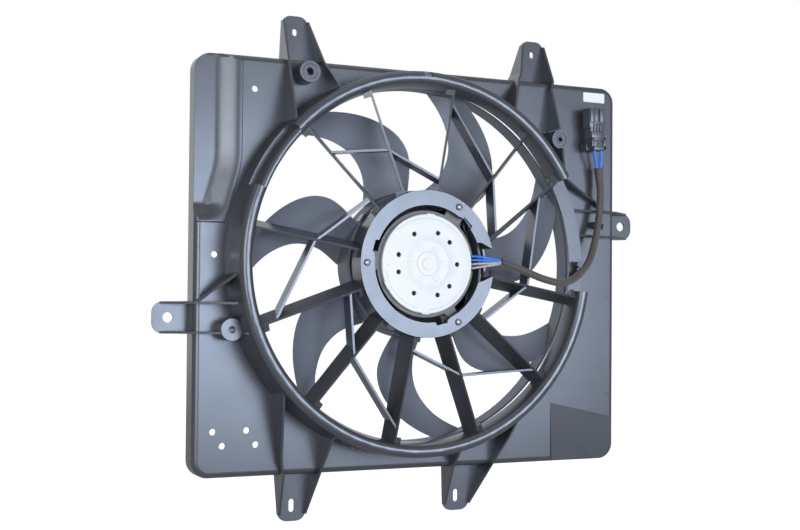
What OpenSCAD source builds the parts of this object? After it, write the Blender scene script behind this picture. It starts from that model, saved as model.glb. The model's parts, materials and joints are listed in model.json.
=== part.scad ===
// Radiator fan: moulded shroud, banded fan, brushed motor, sleeved lead and plug.
// The fan axis is the Y axis. The shroud panel's front face lies in the plane Y = 0,
// and the motor side, where the arms and the motor stand, faces -Y.
// Modules draw in a front frame: x right, y up, z from the panel towards the motor side.
// Angles in that frame count anticlockwise from +x, as seen from the motor side.

/* [Panel] */
// Width of the shroud panel
panel_w = 524; // [515:1:540]
// Height of the shroud panel
panel_h = 450; // [446:1:470]
// Fan axis to the panel's left edge
axis_left = 246; // [243:1:252]
// Fan axis above the panel's lower edge
axis_low = 229; // [226:1:234]
// Depth of the panel's rim towards the radiator
panel_depth = 26; // [25.5:0.5:40]
// Wall thickness of the shroud moulding
wall = 2.5; // [2:0.1:3]
// Radius of the panel's corners
corner_r = 18; // [14:1:24]
// Radius of the panel's front edge
edge_r = 6.5; // [4:0.5:8]
// Depth of the pocket at the upper left
pocket_depth = 8; // [4:0.5:12]
// Width of the pocket's soft flank
pocket_flank = 23; // [16:1:28]
// Depth of the sunk corner at the lower right
sink_depth = 7; // [3:0.5:10]
// Diameter of the locating holes
locating_d = 7; // [5:0.5:8]

/* [Ring] */
// Diameter of the opening in the panel
opening_d = 422; // [412:1:424]
// Height of the ring above the panel
ring_h = 52; // [49:0.5:56]
// How far the wall leans in on its way up
ring_draft = 1.8; // [1:0.1:2.5]
// Radius of the rolled lip
lip_r = 7; // [6:0.25:7.5]
// How far the mouth reaches in from the wall
mouth_reach = 16.7; // [15.6:0.1:18]
// Height of the mouth's lower edge
mouth_low = 30; // [28:0.5:32]
// Height of the recessed step's ledge
step_ledge_h = 28; // [24:1:32]
// Depth of the recessed step
step_depth = 5.6; // [4:0.2:7]
// Width of the notch in the lip
lip_notch_w = 10; // [6:1:14]

/* [Fan] */
// Gap between the fan's band and the opening
band_gap = 12.5; // [11:0.5:13]
// Wall of the fan's band
band_t = 2.5; // [2:0.1:3]
// Axial length of the fan's band
band_l = 20; // [16:1:22]
// Outer diameter of the fan hub
hub_d = 164; // [158:1:168]
// Depth of the fan hub
hub_depth = 36; // [34:1:38]
// Distance of the hub's open edge above the panel
hub_front = 22; // [20:0.5:24]
// Wall of the fan hub
hub_wall = 2.5; // [2:0.1:3]
// Number of blades
blade_count = 7; // [5:1:8]
// Greatest thickness of a blade
blade_t = 3.2; // [2:0.1:4]
// Depth of a blade's camber
blade_camber = 3; // [1:0.5:4]

/* [Arms] */
// Number of support arms
arm_count = 12; // [12:1:12]
// Thickness of the arms and links
arm_t = 2.5; // [2:0.1:3]
// Depth of the arms at the motor carrier
arm_depth = 22; // [18:1:23]
// Depth of the links
link_depth = 19; // [14:1:20]
// Slant of the arms
arm_slant = 24; // [15:1:28]
// Radius where the links' inner ends meet the arms
link_in_r = 95; // [92:1:102]
// Radius where the links change course
link_mid_r = 131; // [122:1:140]
// Radius where the links' outer ends meet the arms
link_out_r = 184; // [176:1:187]

/* [Motor carrier] */
// Height of the carrier's face above the panel
carrier_h = 55; // [54:0.5:58]
// Radial width of the carrier's face
carrier_w = 16.5; // [15:0.5:18]
// Depth of the carrier's outer skirt
carrier_skirt = 25; // [20:1:26]
// Radius of the motor screws' circle
screw_circle_r = 73; // [71.5:0.5:74]
// Diameter of the motor screws' heads
screw_head_d = 7; // [6:0.5:8]
// Diameter of the motor screws' shanks
screw_d = 4; // [3.5:0.5:5]

/* [Motor] */
// Outer diameter of the motor can
can_d = 105; // [98:1:107]
// Wall of the motor can
can_t = 2; // [1.5:0.1:2.5]
// Length of the motor can
can_l = 55; // [54:0.5:57]
// Height of the end plate's face above the panel
plate_h = 52; // [51:0.5:53]
// Thickness of the end plate
plate_t = 2; // [1.5:0.1:2.2]
// Radius of the end plate's hole circle
vent_circle_r = 36; // [33:1:39]
// Diameter of the end plate's holes
vent_d = 5.5; // [4:0.5:7]
// Diameter of the motor shaft
shaft_d = 8; // [7:0.5:9]
// Radial thickness of the magnets
magnet_t = 8; // [6:0.5:9]
// Gap between the armature and the magnets
air_gap = 0.8; // [0.6:0.1:1.5]
// Number of armature slots
slot_count = 12; // [10:1:14]
// Diameter of the commutator
commutator_d = 22; // [20:1:24]

/* [Tabs] */
// Thickness of the mounting tabs
tab_t = 2.5; // [2:0.1:3]
// Reach of the upper tabs beyond the panel
tab_reach_top = 52; // [46:1:60]
// Reach of the lower tabs beyond the panel
tab_reach_low = 53.5; // [46:0.5:60]
// Reach of the side tabs beyond the panel
tab_reach_side = 39; // [34:1:46]
// Thickness of the tabs' ribs
rib_t = 2.5; // [2:0.1:3]
// Width of the lower tabs' slots
slot_w = 6.5; // [5:0.5:8]
// Length of the lower tabs' slots
slot_l = 14.5; // [10:0.5:18]
// Width of the upper tabs' slots
top_slot_w = 5.5; // [5:0.5:7]
// Length of the upper tabs' slots
top_slot_l = 8; // [8:0.5:11]
// Diameter of the side tabs' holes
side_hole_d = 11; // [8:0.5:13]

/* [Bosses] */
// Diameter of the screw bosses
boss_d = 24; // [20:1:26]
// Height of the screw bosses
boss_h = 22; // [18:1:26]
// Diameter of the bosses' screw holes
boss_hole_d = 7; // [4:0.5:8]

/* [Lead and plug] */
// Diameter of the lead's sleeve
sleeve_d = 8.5; // [7:0.5:9]
// Diameter of a single lead
lead_d = 3.8; // [3:0.1:4]
// Width of the plug
plug_w = 24; // [22:1:27]
// Height of the plug
plug_l = 48; // [44:1:52]
// Depth of the plug
plug_t = 18; // [16:1:20]

/* [Hidden] */
$fn = 96;

// Clearance between pieces that seat on each other
seat = 0.08;
// Height of the tabs' ribs where they cross the panel's edge
rib_edge_h = 5;
// Radial clearance of the shaft in its bushes
running = 0.05;
// Allowance for cutting tools that pass through a face
cut = 1;

panel_right = panel_w - axis_left;
panel_top = panel_h - axis_low;
opening_r = opening_d / 2;
foot_r = opening_r + wall;
wall_top_r = foot_r - ring_draft;
mouth_r = wall_top_r - mouth_reach;
lip_axis_r = wall_top_r - lip_r;
lip_axis_h = ring_h - lip_r;
mouth_run = lip_axis_r - mouth_r;
mouth_rise = lip_axis_h - mouth_low;
mouth_arc_r = (mouth_run * mouth_run + mouth_rise * mouth_rise - lip_r * lip_r) / (2 * (mouth_run - lip_r));
mouth_arc_axis_r = mouth_r + mouth_arc_r;
mouth_arc_end = atan2(mouth_rise, lip_axis_r - mouth_arc_axis_r);

low_cut_from = -8;
low_cut_to = 30;
low_cut_h = mouth_low - 0.5;
step_from = 137;
step_to = 158;
step_lip_r = 4.4;

hub_r = hub_d / 2;
hub_back = hub_front - hub_depth;
hub_corner_r = 8;
hub_boss_r = 14;
band_out_r = opening_r - band_gap;
band_in_r = band_out_r - band_t;

carrier_out_r = hub_r - 1.5;
carrier_in_r = carrier_out_r - carrier_w;
screw_angles = [180, 60, -60];

can_r = can_d / 2;
can_front = plate_h - plate_t;
can_back = can_front - can_l;
plate_r = can_r + 1.9;
shaft_r = shaft_d / 2;
bush_r = shaft_r + 4;
bush_l = 7;
pocket_wall = 2;
magnet_in_r = can_r - can_t - seat - magnet_t;
armature_r = magnet_in_r - air_gap;
core_back = can_back + can_t + 6;
core_front = core_back + 26;
winding_l = 7;
commutator_r = commutator_d / 2;
card_t = 2;
card_h = can_front - 7;
front_bush_low = card_h + 1.5;

function arc(cx, cy, r, from, to, steps) =
    [for (i = [0:steps]) let (a = from + (to - from) * i / steps) [cx + r * cos(a), cy + r * sin(a)]];

// Smooth curve through named points, evaluated at x
function curve_at(p, x) =
    let (n = len(p) - 1,
         i = max([0, for (k = [1:n - 1]) if (p[k].x <= x) k]),
         a = p[i], b = p[i + 1],
         before = i > 0 ? p[i - 1] : a,
         after = i < n - 1 ? p[i + 2] : b,
         slope_a = (b.y - before.y) / (b.x - before.x),
         slope_b = (after.y - a.y) / (after.x - a.x),
         w = b.x - a.x,
         t = (x - a.x) / w)
    a.y * (2 * t * t * t - 3 * t * t + 1) + slope_a * w * (t * t * t - 2 * t * t + t)
    + b.y * (3 * t * t - 2 * t * t * t) + slope_b * w * (t * t * t - t * t);

module front() rotate([90, 0, 0]) children();

module tube(r_out, r_in, low, high)
    translate([0, 0, low]) difference() {
        cylinder(r = r_out, h = high - low);
        translate([0, 0, -cut]) cylinder(r = r_in, h = high - low + 2 * cut);
    }

module at_polar(r, a) rotate(a) translate([r, 0, 0]) children();

function left_of(v) = [-v.y, v.x] / norm(v);
function beside(path, d) = [for (i = [0:len(path) - 1])
    let (n1 = left_of(path[max(i, 1)] - path[max(i, 1) - 1]),
         last = len(path) - 2,
         n2 = left_of(path[min(i, last) + 1] - path[min(i, last)]))
    path[i] + d * (n1 + n2) / (1 + n1 * n2)];

// Plan of a wall of thickness t that follows a path, with mitred bends
module path_plan(path, t) polygon(concat(beside(path, t / 2), reversed(beside(path, -t / 2))));

// Box with rounded upright corners and a rounded front edge, as wide as the panel less inset
module tray_form(inset, front_h, back_h) {
    w = panel_w - 2 * inset;
    h = panel_h - 2 * inset;
    rc = corner_r - inset;
    re = max(0.5, edge_r - inset);
    translate([-axis_left + inset, -axis_low + inset, 0]) {
        translate([rc, rc, back_h]) cube([w - 2 * rc, h - 2 * rc, front_h - back_h]);
        for (x = [rc, w - rc], y = [rc, h - rc])
            translate([x, y, 0]) rotate_extrude($fn = 64) {
                translate([0, back_h]) square([rc, front_h - re - back_h]);
                translate([0, back_h]) square([rc - re, front_h - back_h]);
                intersection() {
                    translate([rc - re, front_h - re]) circle(r = re, $fn = 32);
                    translate([0, back_h]) square([rc, front_h - back_h]);
                }
            }
        for (side = [0, 1]) {
            translate([rc, side * h, 0]) mirror([0, side, 0]) edge_bar(w - 2 * rc, rc, re, front_h, back_h);
            translate([side * w, rc, 0]) mirror([side, 0, 0]) rotate(90) mirror([0, 1, 0])
                edge_bar(h - 2 * rc, rc, re, front_h, back_h);
        }
    }
}

module edge_bar(len, width, re, front_h, back_h)
    rotate([90, 0, 90]) linear_extrude(len) {
        translate([0, back_h]) square([width, front_h - re - back_h]);
        translate([re, back_h]) square([width - re, front_h - back_h]);
        translate([re, front_h - re]) circle(r = re, $fn = 32);
    }

pocket_x = -196;
pocket_bend_y = 106;
pocket_end = [-214, 41];
pocket_slope = 17;

// Space in front of the pocket's floor, grown by g on its flanks
module pocket_space(g) {
    far_x = -axis_left - 30;
    far_y = panel_top + 30;
    translate([0, 0, -g]) hull() {
        linear_extrude(0.01) polygon([
            [far_x, far_y], [pocket_x + g, far_y], [pocket_x + g, pocket_bend_y],
            [pocket_end.x + g, pocket_end.y - g], [far_x, pocket_end.y - g]
        ]);
        translate([0, 0, 20]) linear_extrude(0.01) polygon([
            [far_x, far_y], [pocket_x + g, far_y], [pocket_x + g, pocket_bend_y],
            [pocket_end.x + g, pocket_end.y - g], [far_x, pocket_end.y - g]
        ]);
        translate([0, 0, -pocket_depth]) linear_extrude(0.01) polygon([
            [far_x, far_y], [pocket_x - pocket_flank + g, far_y],
            [pocket_x - pocket_flank + g, pocket_bend_y + 4],
            [pocket_end.x - pocket_flank + g, pocket_end.y + pocket_slope - g],
            [far_x, pocket_end.y + pocket_slope - g]
        ]);
    }
}

sink_from = [188, -160];
sink_turn = -12;

// Space in front of the sunk corner
module sink_space(g)
    intersection() {
        translate([sink_from.x, sink_from.y, -g]) rotate(sink_turn)
            rotate([atan2(sink_depth, axis_low + sink_from.y), 0, 0])
                translate([-60, -120, 0]) cube([220, 120, 60]);
        translate([sink_from.x - g, -axis_low - 40, -g]) rotate([0, 45, 0])
            translate([-60, 0, 0]) cube([220, 140, 160]);
    }

module shroud_panel() color("#26282c") front() difference() {
    union() {
        difference() {
            tray_form(0, 0, -panel_depth);
            pocket_space(0);
            sink_space(0);
        }
        tray_form(0, -pocket_depth, -panel_depth);
    }
    difference() {
        union() {
            difference() {
                tray_form(wall, -wall, -panel_depth - cut);
                pocket_space(wall);
                sink_space(wall);
            }
            tray_form(wall, -pocket_depth - wall, -panel_depth - cut);
        }
    }
    translate([0, 0, -wall - pocket_depth]) cylinder(r = foot_r + seat, h = 60, $fn = 180);
    for (p = locating_holes) translate([p.x, p.y, -20]) cylinder(d = locating_d, h = 40, $fn = 32);
    at_xy(boss_places[2]) translate([0, 0, -20]) cylinder(d = boss_hole_d, h = 40, $fn = 32);
}

locating_holes = [
    [-181.7, 185.2], [-224.6, 6.8], [-224.3, -180.1], [-213.8, -195.3], [-187.2, -179.6], [-176.9, -195]
];

module at_xy(p) translate([p.x, p.y, 0]) children();

// Inner contour of the mouth to the lip's crest, moved back by g.
// It starts at the mouth's lower edge, or below it where the start is over 180 degrees.
function mouth_curve(g, start = 180) = concat(
    arc(mouth_arc_axis_r, mouth_low, mouth_arc_r - g, start, mouth_arc_end, 5),
    arc(lip_axis_r, lip_axis_h, lip_r - g, mouth_arc_end, 0, 9)
);

function reversed(v) = [for (i = [len(v) - 1:-1:0]) v[i]];
function wall_in(h) = opening_r - ring_draft * h / lip_axis_h;

// The recessed step has its own, narrower lip
step_wall_r = wall_top_r - step_depth;
step_lip_h = ring_h - 2 - step_lip_r;
function step_lip(g) = arc(step_wall_r - step_lip_r, step_lip_h, step_lip_r - g, 150, 0, 8);

// The tunnel's outline, filled behind by a straight line from the mouth to the foot
module filled_section() polygon(concat(
    [[opening_r - 1, -wall], [foot_r, -wall], [foot_r, 0]],
    reversed(mouth_curve(0, 183)),
    [[opening_r - 1, 0]]
));

open_back = [[opening_r, 0], [opening_r, -20], [mouth_r - 10, -20]];

module hollow_section() polygon(concat(mouth_curve(wall), open_back, [[mouth_r - 10, mouth_low]]));

module low_hollow_section() polygon(concat(
    [[mouth_r - 10, low_cut_h - wall], [wall_in(low_cut_h - wall), low_cut_h - wall]], open_back
));

module step_hollow_section() polygon(concat(
    arc(mouth_arc_axis_r, mouth_low, mouth_arc_r - wall, 180, 165, 4),
    step_lip(wall),
    [[step_wall_r + 0.8 - wall, step_ledge_h - wall], [wall_in(step_ledge_h - wall), step_ledge_h - wall]],
    open_back,
    [[mouth_r - 10, mouth_low]]
));

// Space over the step's ledge, outside its recessed wall and above its lip
module step_space_section() polygon(concat(
    [[foot_r + 20, step_ledge_h], [step_wall_r + 0.8, step_ledge_h]],
    reversed(step_lip(0)),
    [[mouth_r - 10, step_lip_h + 4], [mouth_r - 10, ring_h + 20], [foot_r + 20, ring_h + 20]]
));

module sector(from, to) rotate(from) rotate_extrude(angle = to - from, $fn = 180) children();

module shroud_ring() color("#2a2c31") front() difference() {
    end_a = atan(wall / mouth_r);
    rotate_extrude($fn = 180) filled_section();
    sector(low_cut_to + end_a, step_from - end_a) hollow_section();
    sector(step_to + end_a, 360 + low_cut_from - end_a) hollow_section();
    sector(low_cut_from, low_cut_to) low_hollow_section();
    sector(low_cut_from, low_cut_to) translate([mouth_r - 10, low_cut_h]) square([60, 60]);
    sector(step_from, step_to) step_hollow_section();
    sector(step_from, step_to) step_space_section();
    at_polar(lip_axis_r + lip_r / 2, 90) translate([-lip_r / 2, -lip_notch_w / 2, ring_h - 6])
        cube([lip_r, lip_notch_w, 20]);
}

// Solid space between the carrier and the mouth, inside which the arms lie
module arm_space() rotate_extrude($fn = 180) polygon(concat(
    [[carrier_out_r + seat, mouth_low - 14], [mouth_r - seat, mouth_low - 14]],
    [for (p = arc(mouth_arc_axis_r, mouth_low, mouth_arc_r + seat, 180, mouth_arc_end, 5)) p],
    [[lip_axis_r, ring_h + 8], [carrier_out_r + seat, ring_h + 8]]
));

arm_start = 20.5;
arm_step = 360 / arm_count;
// One arm stands closer to its neighbour, and one leans round beside the low cut
close_arm = 4;
close_by = -5.5;
leaning_arm = 0;
leaning_by = 11;
arm_hub_h = carrier_h - 5;
arm_ring_h = lip_axis_h;

function arm_angle(k) = arm_start + arm_step * k + (k == close_arm ? close_by : 0);
function arm_end_angle(k) = arm_angle(k) + (k == leaning_arm ? leaning_by : 0);
function arm_root(k) = carrier_out_r * [cos(arm_angle(k)), sin(arm_angle(k))];
function arm_tip(k) = (lip_axis_r - 2) * [cos(arm_end_angle(k)), sin(arm_end_angle(k))];
function arm_way(k) = arm_tip(k) - arm_root(k);
function arm_dir(k) = atan2(arm_way(k).y, arm_way(k).x);
function arm_point(k, r) =
    let (s = (r - carrier_out_r) / (lip_axis_r - 2 - carrier_out_r)) arm_root(k) + arm_way(k) * s;

// Plate of an arm from its front edge back, t thick, slanted about its front edge
module arm_plate(k, t, back) {
    run = norm(arm_way(k));
    at_xy(arm_root(k)) rotate(arm_dir(k)) translate([0, 0, arm_hub_h]) rotate([-arm_slant, 0, 0])
        translate([0, t / 2, 0]) rotate([90, 0, 0]) linear_extrude(t)
            polygon([[-4, -back], [run, -back - 3], [run, arm_ring_h - arm_hub_h], [-4, 0]]);
}

module arm_feet(k) {
    run = norm(arm_way(k));
    at_xy(arm_root(k)) rotate(arm_dir(k)) translate([0, 0, arm_hub_h]) rotate([-arm_slant, 0, 0]) {
        translate([-4, 0, -3]) cube([9, 9, 3]);
        translate([run - 12, 0, arm_ring_h - arm_hub_h - 3]) cube([12, 9, 3]);
    }
}

link_chains = 6;
// Where the outer link of each chain starts on its arm
function link_start(c) = c == 2 ? link_out_r - 20 : c == 0 ? link_out_r - 16 : link_out_r;

module link_plate(arm_a, r_a, arm_b, r_b) {
    a = arm_point(arm_a, r_a);
    b = arm_point(arm_b, r_b);
    run = b - a;
    front_a = arm_front_at(r_a);
    front_b = arm_front_at(r_b);
    difference() {
        at_xy(a) rotate(atan2(run.y, run.x)) translate([0, arm_t / 2, 0]) rotate([90, 0, 0])
            linear_extrude(arm_t) polygon([
                [-16, front_a - link_depth], [norm(run) + 16, front_b - link_depth],
                [norm(run) + 16, front_b - 1], [-16, front_a - 1]
            ]);
        beyond_arm(arm_a, 1);
        beyond_arm(arm_b, -1);
    }
}

function arm_front_at(r) =
    arm_hub_h + (arm_ring_h - arm_hub_h) * (r - carrier_out_r) / (lip_axis_r - 2 - carrier_out_r);

// Size of the spaces that are cut away beyond an arm or above a ring
clear_l = 160;
clear_w = 60;
clear_h = 90;

// Space from an arm's face outwards: side 1 is anticlockwise, side -1 clockwise
module beyond_arm(k, side)
    at_xy(arm_root(k)) rotate(arm_dir(k)) translate([0, 0, arm_hub_h]) rotate([-arm_slant, 0, 0])
        translate([-20, side > 0 ? -arm_t / 2 - seat : arm_t / 2 + seat - clear_w, -clear_w])
            cube([clear_l, clear_w, clear_h]);

module support_arms() color("#2a2c31") front() {
    intersection() {
        union() {
            for (k = [0:arm_count - 1]) {
                arm_plate(k, arm_t, arm_depth);
                arm_feet(k);
            }
        }
        arm_space();
    }
    for (c = [0:link_chains - 1]) {
        outer = 2 * c;
        middle = (2 * c + arm_count - 1) % arm_count;
        inner = (2 * c + arm_count - 2) % arm_count;
        link_plate(outer, link_start(c), middle, link_mid_r);
        link_plate(middle, link_mid_r, inner, link_in_r);
    }
}

module motor_carrier() color("#2e3036") front() difference() {
    union() {
        tube(carrier_out_r, carrier_in_r, carrier_h - wall, carrier_h);
        tube(carrier_out_r, carrier_out_r - wall, carrier_h - carrier_skirt, carrier_h);
        tube(carrier_in_r + 2, carrier_in_r, flange_front + seat, carrier_h);
        for (a = screw_angles)
            at_polar(screw_circle_r, a) translate([0, 0, flange_front + seat])
                cylinder(r = screw_boss_r, h = carrier_h - flange_front - seat, $fn = 48);
    }
    for (a = screw_angles) {
        at_polar(screw_circle_r, a) cylinder(d = screw_d + 2 * seat, h = 80, $fn = 32);
        rotate(a) lug_window();
    }
    wire_exit();
}

screw_boss_r = 5.5;

// Window beside each screw, through which the motor's lug shows
module lug_window() translate([0, 0, carrier_h - 12]) linear_extrude(20)
    polygon([for (p = [[0, -6], [0, -23], [6, -21], [6, -10], [3, -9], [3, -6]])
        (carrier_in_r - 2 + p.x) * [cos(p.y), sin(p.y)]]);

// Gap in the carrier where the leads come out
module wire_exit() translate([0, 0, carrier_h - carrier_skirt + 6]) linear_extrude(60)
    polygon([for (p = [[-4, 22], [5, 19], [carrier_w + 4, 9], [carrier_w + 4, -9], [5, -17], [-4, -22]])
        (carrier_in_r + p.x) * [cos(p.y + 2), sin(p.y + 2)]]);

module motor_screws() color("#8d9094") front()
    for (a = screw_angles) at_polar(screw_circle_r, a) difference() {
        union() {
            translate([0, 0, carrier_h + seat]) cylinder(d = screw_head_d, h = 2.4, $fn = 48);
            translate([0, 0, flange_front - 6]) cylinder(d = screw_d, h = carrier_h - flange_front + 7, $fn = 32);
        }
        translate([0, 0, carrier_h + 1]) cylinder(r = 1.6, h = 3, $fn = 6);
    }

flange_t = 2;
flange_front = plate_h - 5;

// Steel ring round the can with three lugs under the carrier's screws
module motor_flange() color("#b9bcc0") front() difference() {
    union() {
        tube(can_r + 6, can_r + seat, flange_front - flange_t, flange_front);
        for (a = screw_angles) rotate(a) intersection() {
            tube(screw_circle_r + 4.5, can_r + 5, flange_front - flange_t, flange_front);
            translate([0, 0, flange_front - flange_t - cut]) linear_extrude(flange_t + 2 * cut)
                polygon([[0, 0], 120 * [cos(7), sin(7)], 120 * [cos(12), -sin(12)]]);
        }
    }
    for (a = screw_angles) at_polar(screw_circle_r, a) cylinder(d = screw_d + 2 * seat, h = 80, $fn = 32);
    at_polar(can_r - 5, 2) translate([0, -grommet_w / 2 - 1, 0]) cube([20, grommet_w + 2, 80]);
}

module motor_can() color("#9da1a5") front() difference() {
    union() {
        translate([0, 0, can_back]) rotate_extrude($fn = 128) {
            square([can_r - 4, can_l]);
            translate([0, 4]) square([can_r, can_l - 4]);
            translate([can_r - 4, 4]) circle(r = 4, $fn = 48);
        }
        translate([0, 0, can_back - 3]) cylinder(r = bush_r + pocket_wall, h = 4);
    }
    translate([0, 0, can_back + can_t]) cylinder(r = can_r - can_t, h = can_l, $fn = 128);
    translate([0, 0, can_back - 3 + pocket_wall]) cylinder(r = bush_r + seat, h = can_l);
    translate([0, 0, can_back - 3 - cut]) cylinder(r = shaft_r + 1, h = 20);
    at_polar(can_r, 2) translate([-5, -grommet_w / 2 - seat, can_front - grommet_h - seat])
        cube([10, grommet_w + 2 * seat, grommet_h + cut]);
}

grommet_w = 16;
grommet_h = 8;

vent_angles = [0, 42, -42, 70, -70, 117, -117, 165, -165];

// Zinc plate pressed over the can, with its boss, stake marks and raised arcs
module motor_end_plate() color("#d9dbdc") front() difference() {
    union() {
        translate([0, 0, can_front + seat]) rotate_extrude($fn = 128) {
            square([plate_r - 1.5, plate_t - seat]);
            translate([0, flange_front - can_front]) square([plate_r, plate_h - flange_front - seat - 1.5]);
            translate([plate_r - 1.5, plate_t - seat - 1.5]) circle(r = 1.5, $fn = 32);
            translate([0, plate_t - seat - 0.5]) square([12.5, 1.1]);
        }
        for (a = [86, 206, -92]) at_polar(plate_r - 1, a)
            translate([-0.5, -5, can_front - 2]) cube([3.5, 10, 3.2]);
    }
    translate([0, 0, can_front - 5]) cylinder(r = can_r + seat, h = 5 + seat, $fn = 128);
    for (a = vent_angles) at_polar(vent_circle_r, a) cylinder(d = vent_d, h = 80, $fn = 32);
    for (a = [0:60:300]) at_polar(16, a + 20) translate([-1.2, -1.8, plate_h - 0.4]) cube([2.4, 3.6, 2]);
    for (a = [100, 15, -140]) rotate(a) translate([0, 0, plate_h - 0.4])
        rotate_extrude(angle = 62, $fn = 96) translate([plate_r - 6, 0]) square([0.8, 2]);
    tube_groove(29, 0.8);
}

module tube_groove(r, w) tube(r + w / 2, r - w / 2, plate_h - 0.35, plate_h + cut);

module motor_magnets() color("#3a3a3c") front()
    for (a = [0:90:270]) rotate(a + 45 - 37) translate([0, 0, core_back - 2])
        rotate_extrude(angle = 74, $fn = 96) translate([magnet_in_r, 0]) square([magnet_t, 30]);

module bearing_bushes() color("#b08d57") front() {
    tube(bush_r, shaft_r + running, can_back - 3 + pocket_wall + seat, can_back - 3 + pocket_wall + bush_l);
    tube(bush_r, shaft_r + running, front_bush_low, can_front);
}

// Insulating card that carries the brush gear, held at the can's wall and round the front bush
module brush_card() color("#5b4a32") front() difference() {
    tube(can_r - can_t - seat, bush_r + seat, card_h, card_h + card_t);
    for (a = vent_angles) if (abs(a) != 0) at_polar(vent_circle_r, a) translate([0, 0, card_h - cut])
        cylinder(d = vent_d - 1.5, h = card_t + 2 * cut, $fn = 24);
    at_polar(can_r - can_t - 2, 2) translate([0, -grommet_w / 2 - seat, card_h - cut])
        cube([10, grommet_w + 2 * seat, card_t + 2 * cut]);
}

brush_angles = [30, 150, 270];
brush_w = 7;
brush_h = 5;
brush_l = 12;
brush_low = card_h - 1.3 - brush_h - 0.2;
commutator_top = brush_low + brush_h + 0.6;

module at_brush(a) rotate(a) translate([commutator_r + 0.3, 0, brush_low]) children();

module brush_holders() color("#c9a24b") front()
    for (a = brush_angles) at_brush(a) translate([3, 0, 0]) difference() {
        translate([0, -brush_w / 2 - 1.2, -1.3]) cube([20, brush_w + 2.4, brush_h + 2.6]);
        translate([-cut, -brush_w / 2 - 0.15, -0.15]) cube([19.8, brush_w + 0.3, brush_h + 0.3]);
    }

module brushes() color("#2b2b2b") front()
    for (a = brush_angles) at_brush(a) difference() {
        translate([0, -brush_w / 2, 0]) cube([brush_l, brush_w, brush_h]);
        translate([-commutator_r - 0.3, 0, -cut]) cylinder(r = commutator_r + 0.3, h = brush_h + 2 * cut);
    }

// Coil springs behind the brushes, drawn as rings joined by a straight back
module brush_springs() color("#c7c9cc") front()
    for (a = brush_angles) at_brush(a) translate([brush_l + 0.2, 0, brush_h / 2]) rotate([0, 90, 0]) {
        for (i = [0:3]) translate([0, 0, 0.4 + i * 2.6]) rotate_extrude($fn = 32)
            translate([1.7, 0]) circle(r = 0.4, $fn = 16);
        translate([-0.3, 1.4, 0.1]) cube([0.6, 0.6, 8.6]);
    }

module motor_grommet() color("#1c1c1d") front() difference() {
    at_polar(can_r - can_t, 2) translate([-1.5, -grommet_w / 2, can_front - grommet_h])
        cube([6.5, grommet_w, grommet_h - 0.9]);
    tube(can_r + 1.9 + seat, can_r - 0.1, can_front - 5, can_front + cut);
}

// Tube with a many-sided section swept along a route
function unit(v) = v / norm(v);
function tangent(p, i) =
    unit(i == 0 ? p[1] - p[0] : i == len(p) - 1 ? p[i] - p[i - 1] : unit(p[i + 1] - p[i]) + unit(p[i] - p[i - 1]));
function side_of(t) = unit(cross(t, abs(t.z) > 0.9 ? [1, 0, 0] : [0, 0, 1]));
module swept_tube(route, r, sides) {
    n = len(route);
    rings = [for (i = [0:n - 1])
        let (t = tangent(route, i), u = side_of(t), v = cross(t, u))
        for (k = [0:sides - 1]) route[i] + r * (cos(360 * k / sides) * u + sin(360 * k / sides) * v)];
    faces = concat(
        [[for (k = [0:sides - 1]) k]],
        [for (i = [0:n - 2], k = [0:sides - 1])
            let (a = i * sides + k, b = i * sides + (k + 1) % sides) each [[a, a + sides, b], [b, a + sides, b + sides]]],
        [[for (k = [sides - 1:-1:0]) (n - 1) * sides + k]]
    );
    polyhedron(rings, faces, convexity = 6);
}

// Smooth points along a route: each stretch is split into steps
function smooth(p, steps) = concat(
    [for (i = [0:len(p) - 2], s = [0:steps - 1])
        let (t = s / steps,
             a = p[max(0, i - 1)], b = p[i], c = p[i + 1], d = p[min(len(p) - 1, i + 2)])
        0.5 * (2 * b + (c - a) * t + (2 * a - 5 * b + 4 * c - d) * t * t + (3 * b - a - 3 * c + d) * t * t * t)],
    [p[len(p) - 1]]
);

// Middle of the plug across the panel, and its upper end
plug_x = panel_right - 44;
plug_top = panel_top - 32;

// The lead's route, from the plug down the panel, over the ring's low cut and in to the motor
sleeve_route = [
    [plug_x + 9, plug_top - 68, 13], [plug_x + 11, plug_top - 79, 13], [plug_x + 14, plug_top - 95, 14],
    [249, 76, 15], [246, 52, 17], [238, 28, 21], [223, 8, 30],
    [206, -5, 38], [188, -15, 45], [170, -18, 50], [150, -15, 52], [128, -8, 52], [106, 0, 52], [91, 4, 53]
];
motor_end = sleeve_route[13];
plug_end = sleeve_route[0];

module lead_sleeve() color("#4a4340") front()
    swept_tube(smooth(sleeve_route, 3), sleeve_d / 2, 10);

module motor_leads() color("#2f6fd0") front() {
    for (i = [0:3]) {
        spread = [3.2, 1.1, -1.1, -3.2][i];
        swept_tube(smooth([
            [can_r + 3.6, 2 + spread * 1.5, can_front - 3.5],
            [can_r + 12, 3 + spread * 1.3, can_front + 0.5 + abs(spread) * 0.2],
            [can_r + 26, 3.5 + spread * 1, 53.2],
            motor_end + [-1, spread * 0.62 - 0.2, i == 1 || i == 2 ? 1.2 : -0.4]
        ], 4), 1, 8);
    }
}

plug_front = 26;
seal_r = lead_d / 2 + 1.3;

module connector_leads() color("#2f6fd0") front()
    for (s = [-1, 1])
        swept_tube(smooth([
            [plug_x + 8 + s * 5, plug_top - plug_l - 1, 15],
            [plug_x + 8 + s * 4.6, plug_top - plug_l - 8, 14.6],
            [plug_end.x + s * 2.6 + 0.3, plug_end.y + 6, 13.6],
            [plug_end.x + s * 1.9, plug_end.y + 1, 13]
        ], 3), lead_d / 2 - 0.1, 8);

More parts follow.
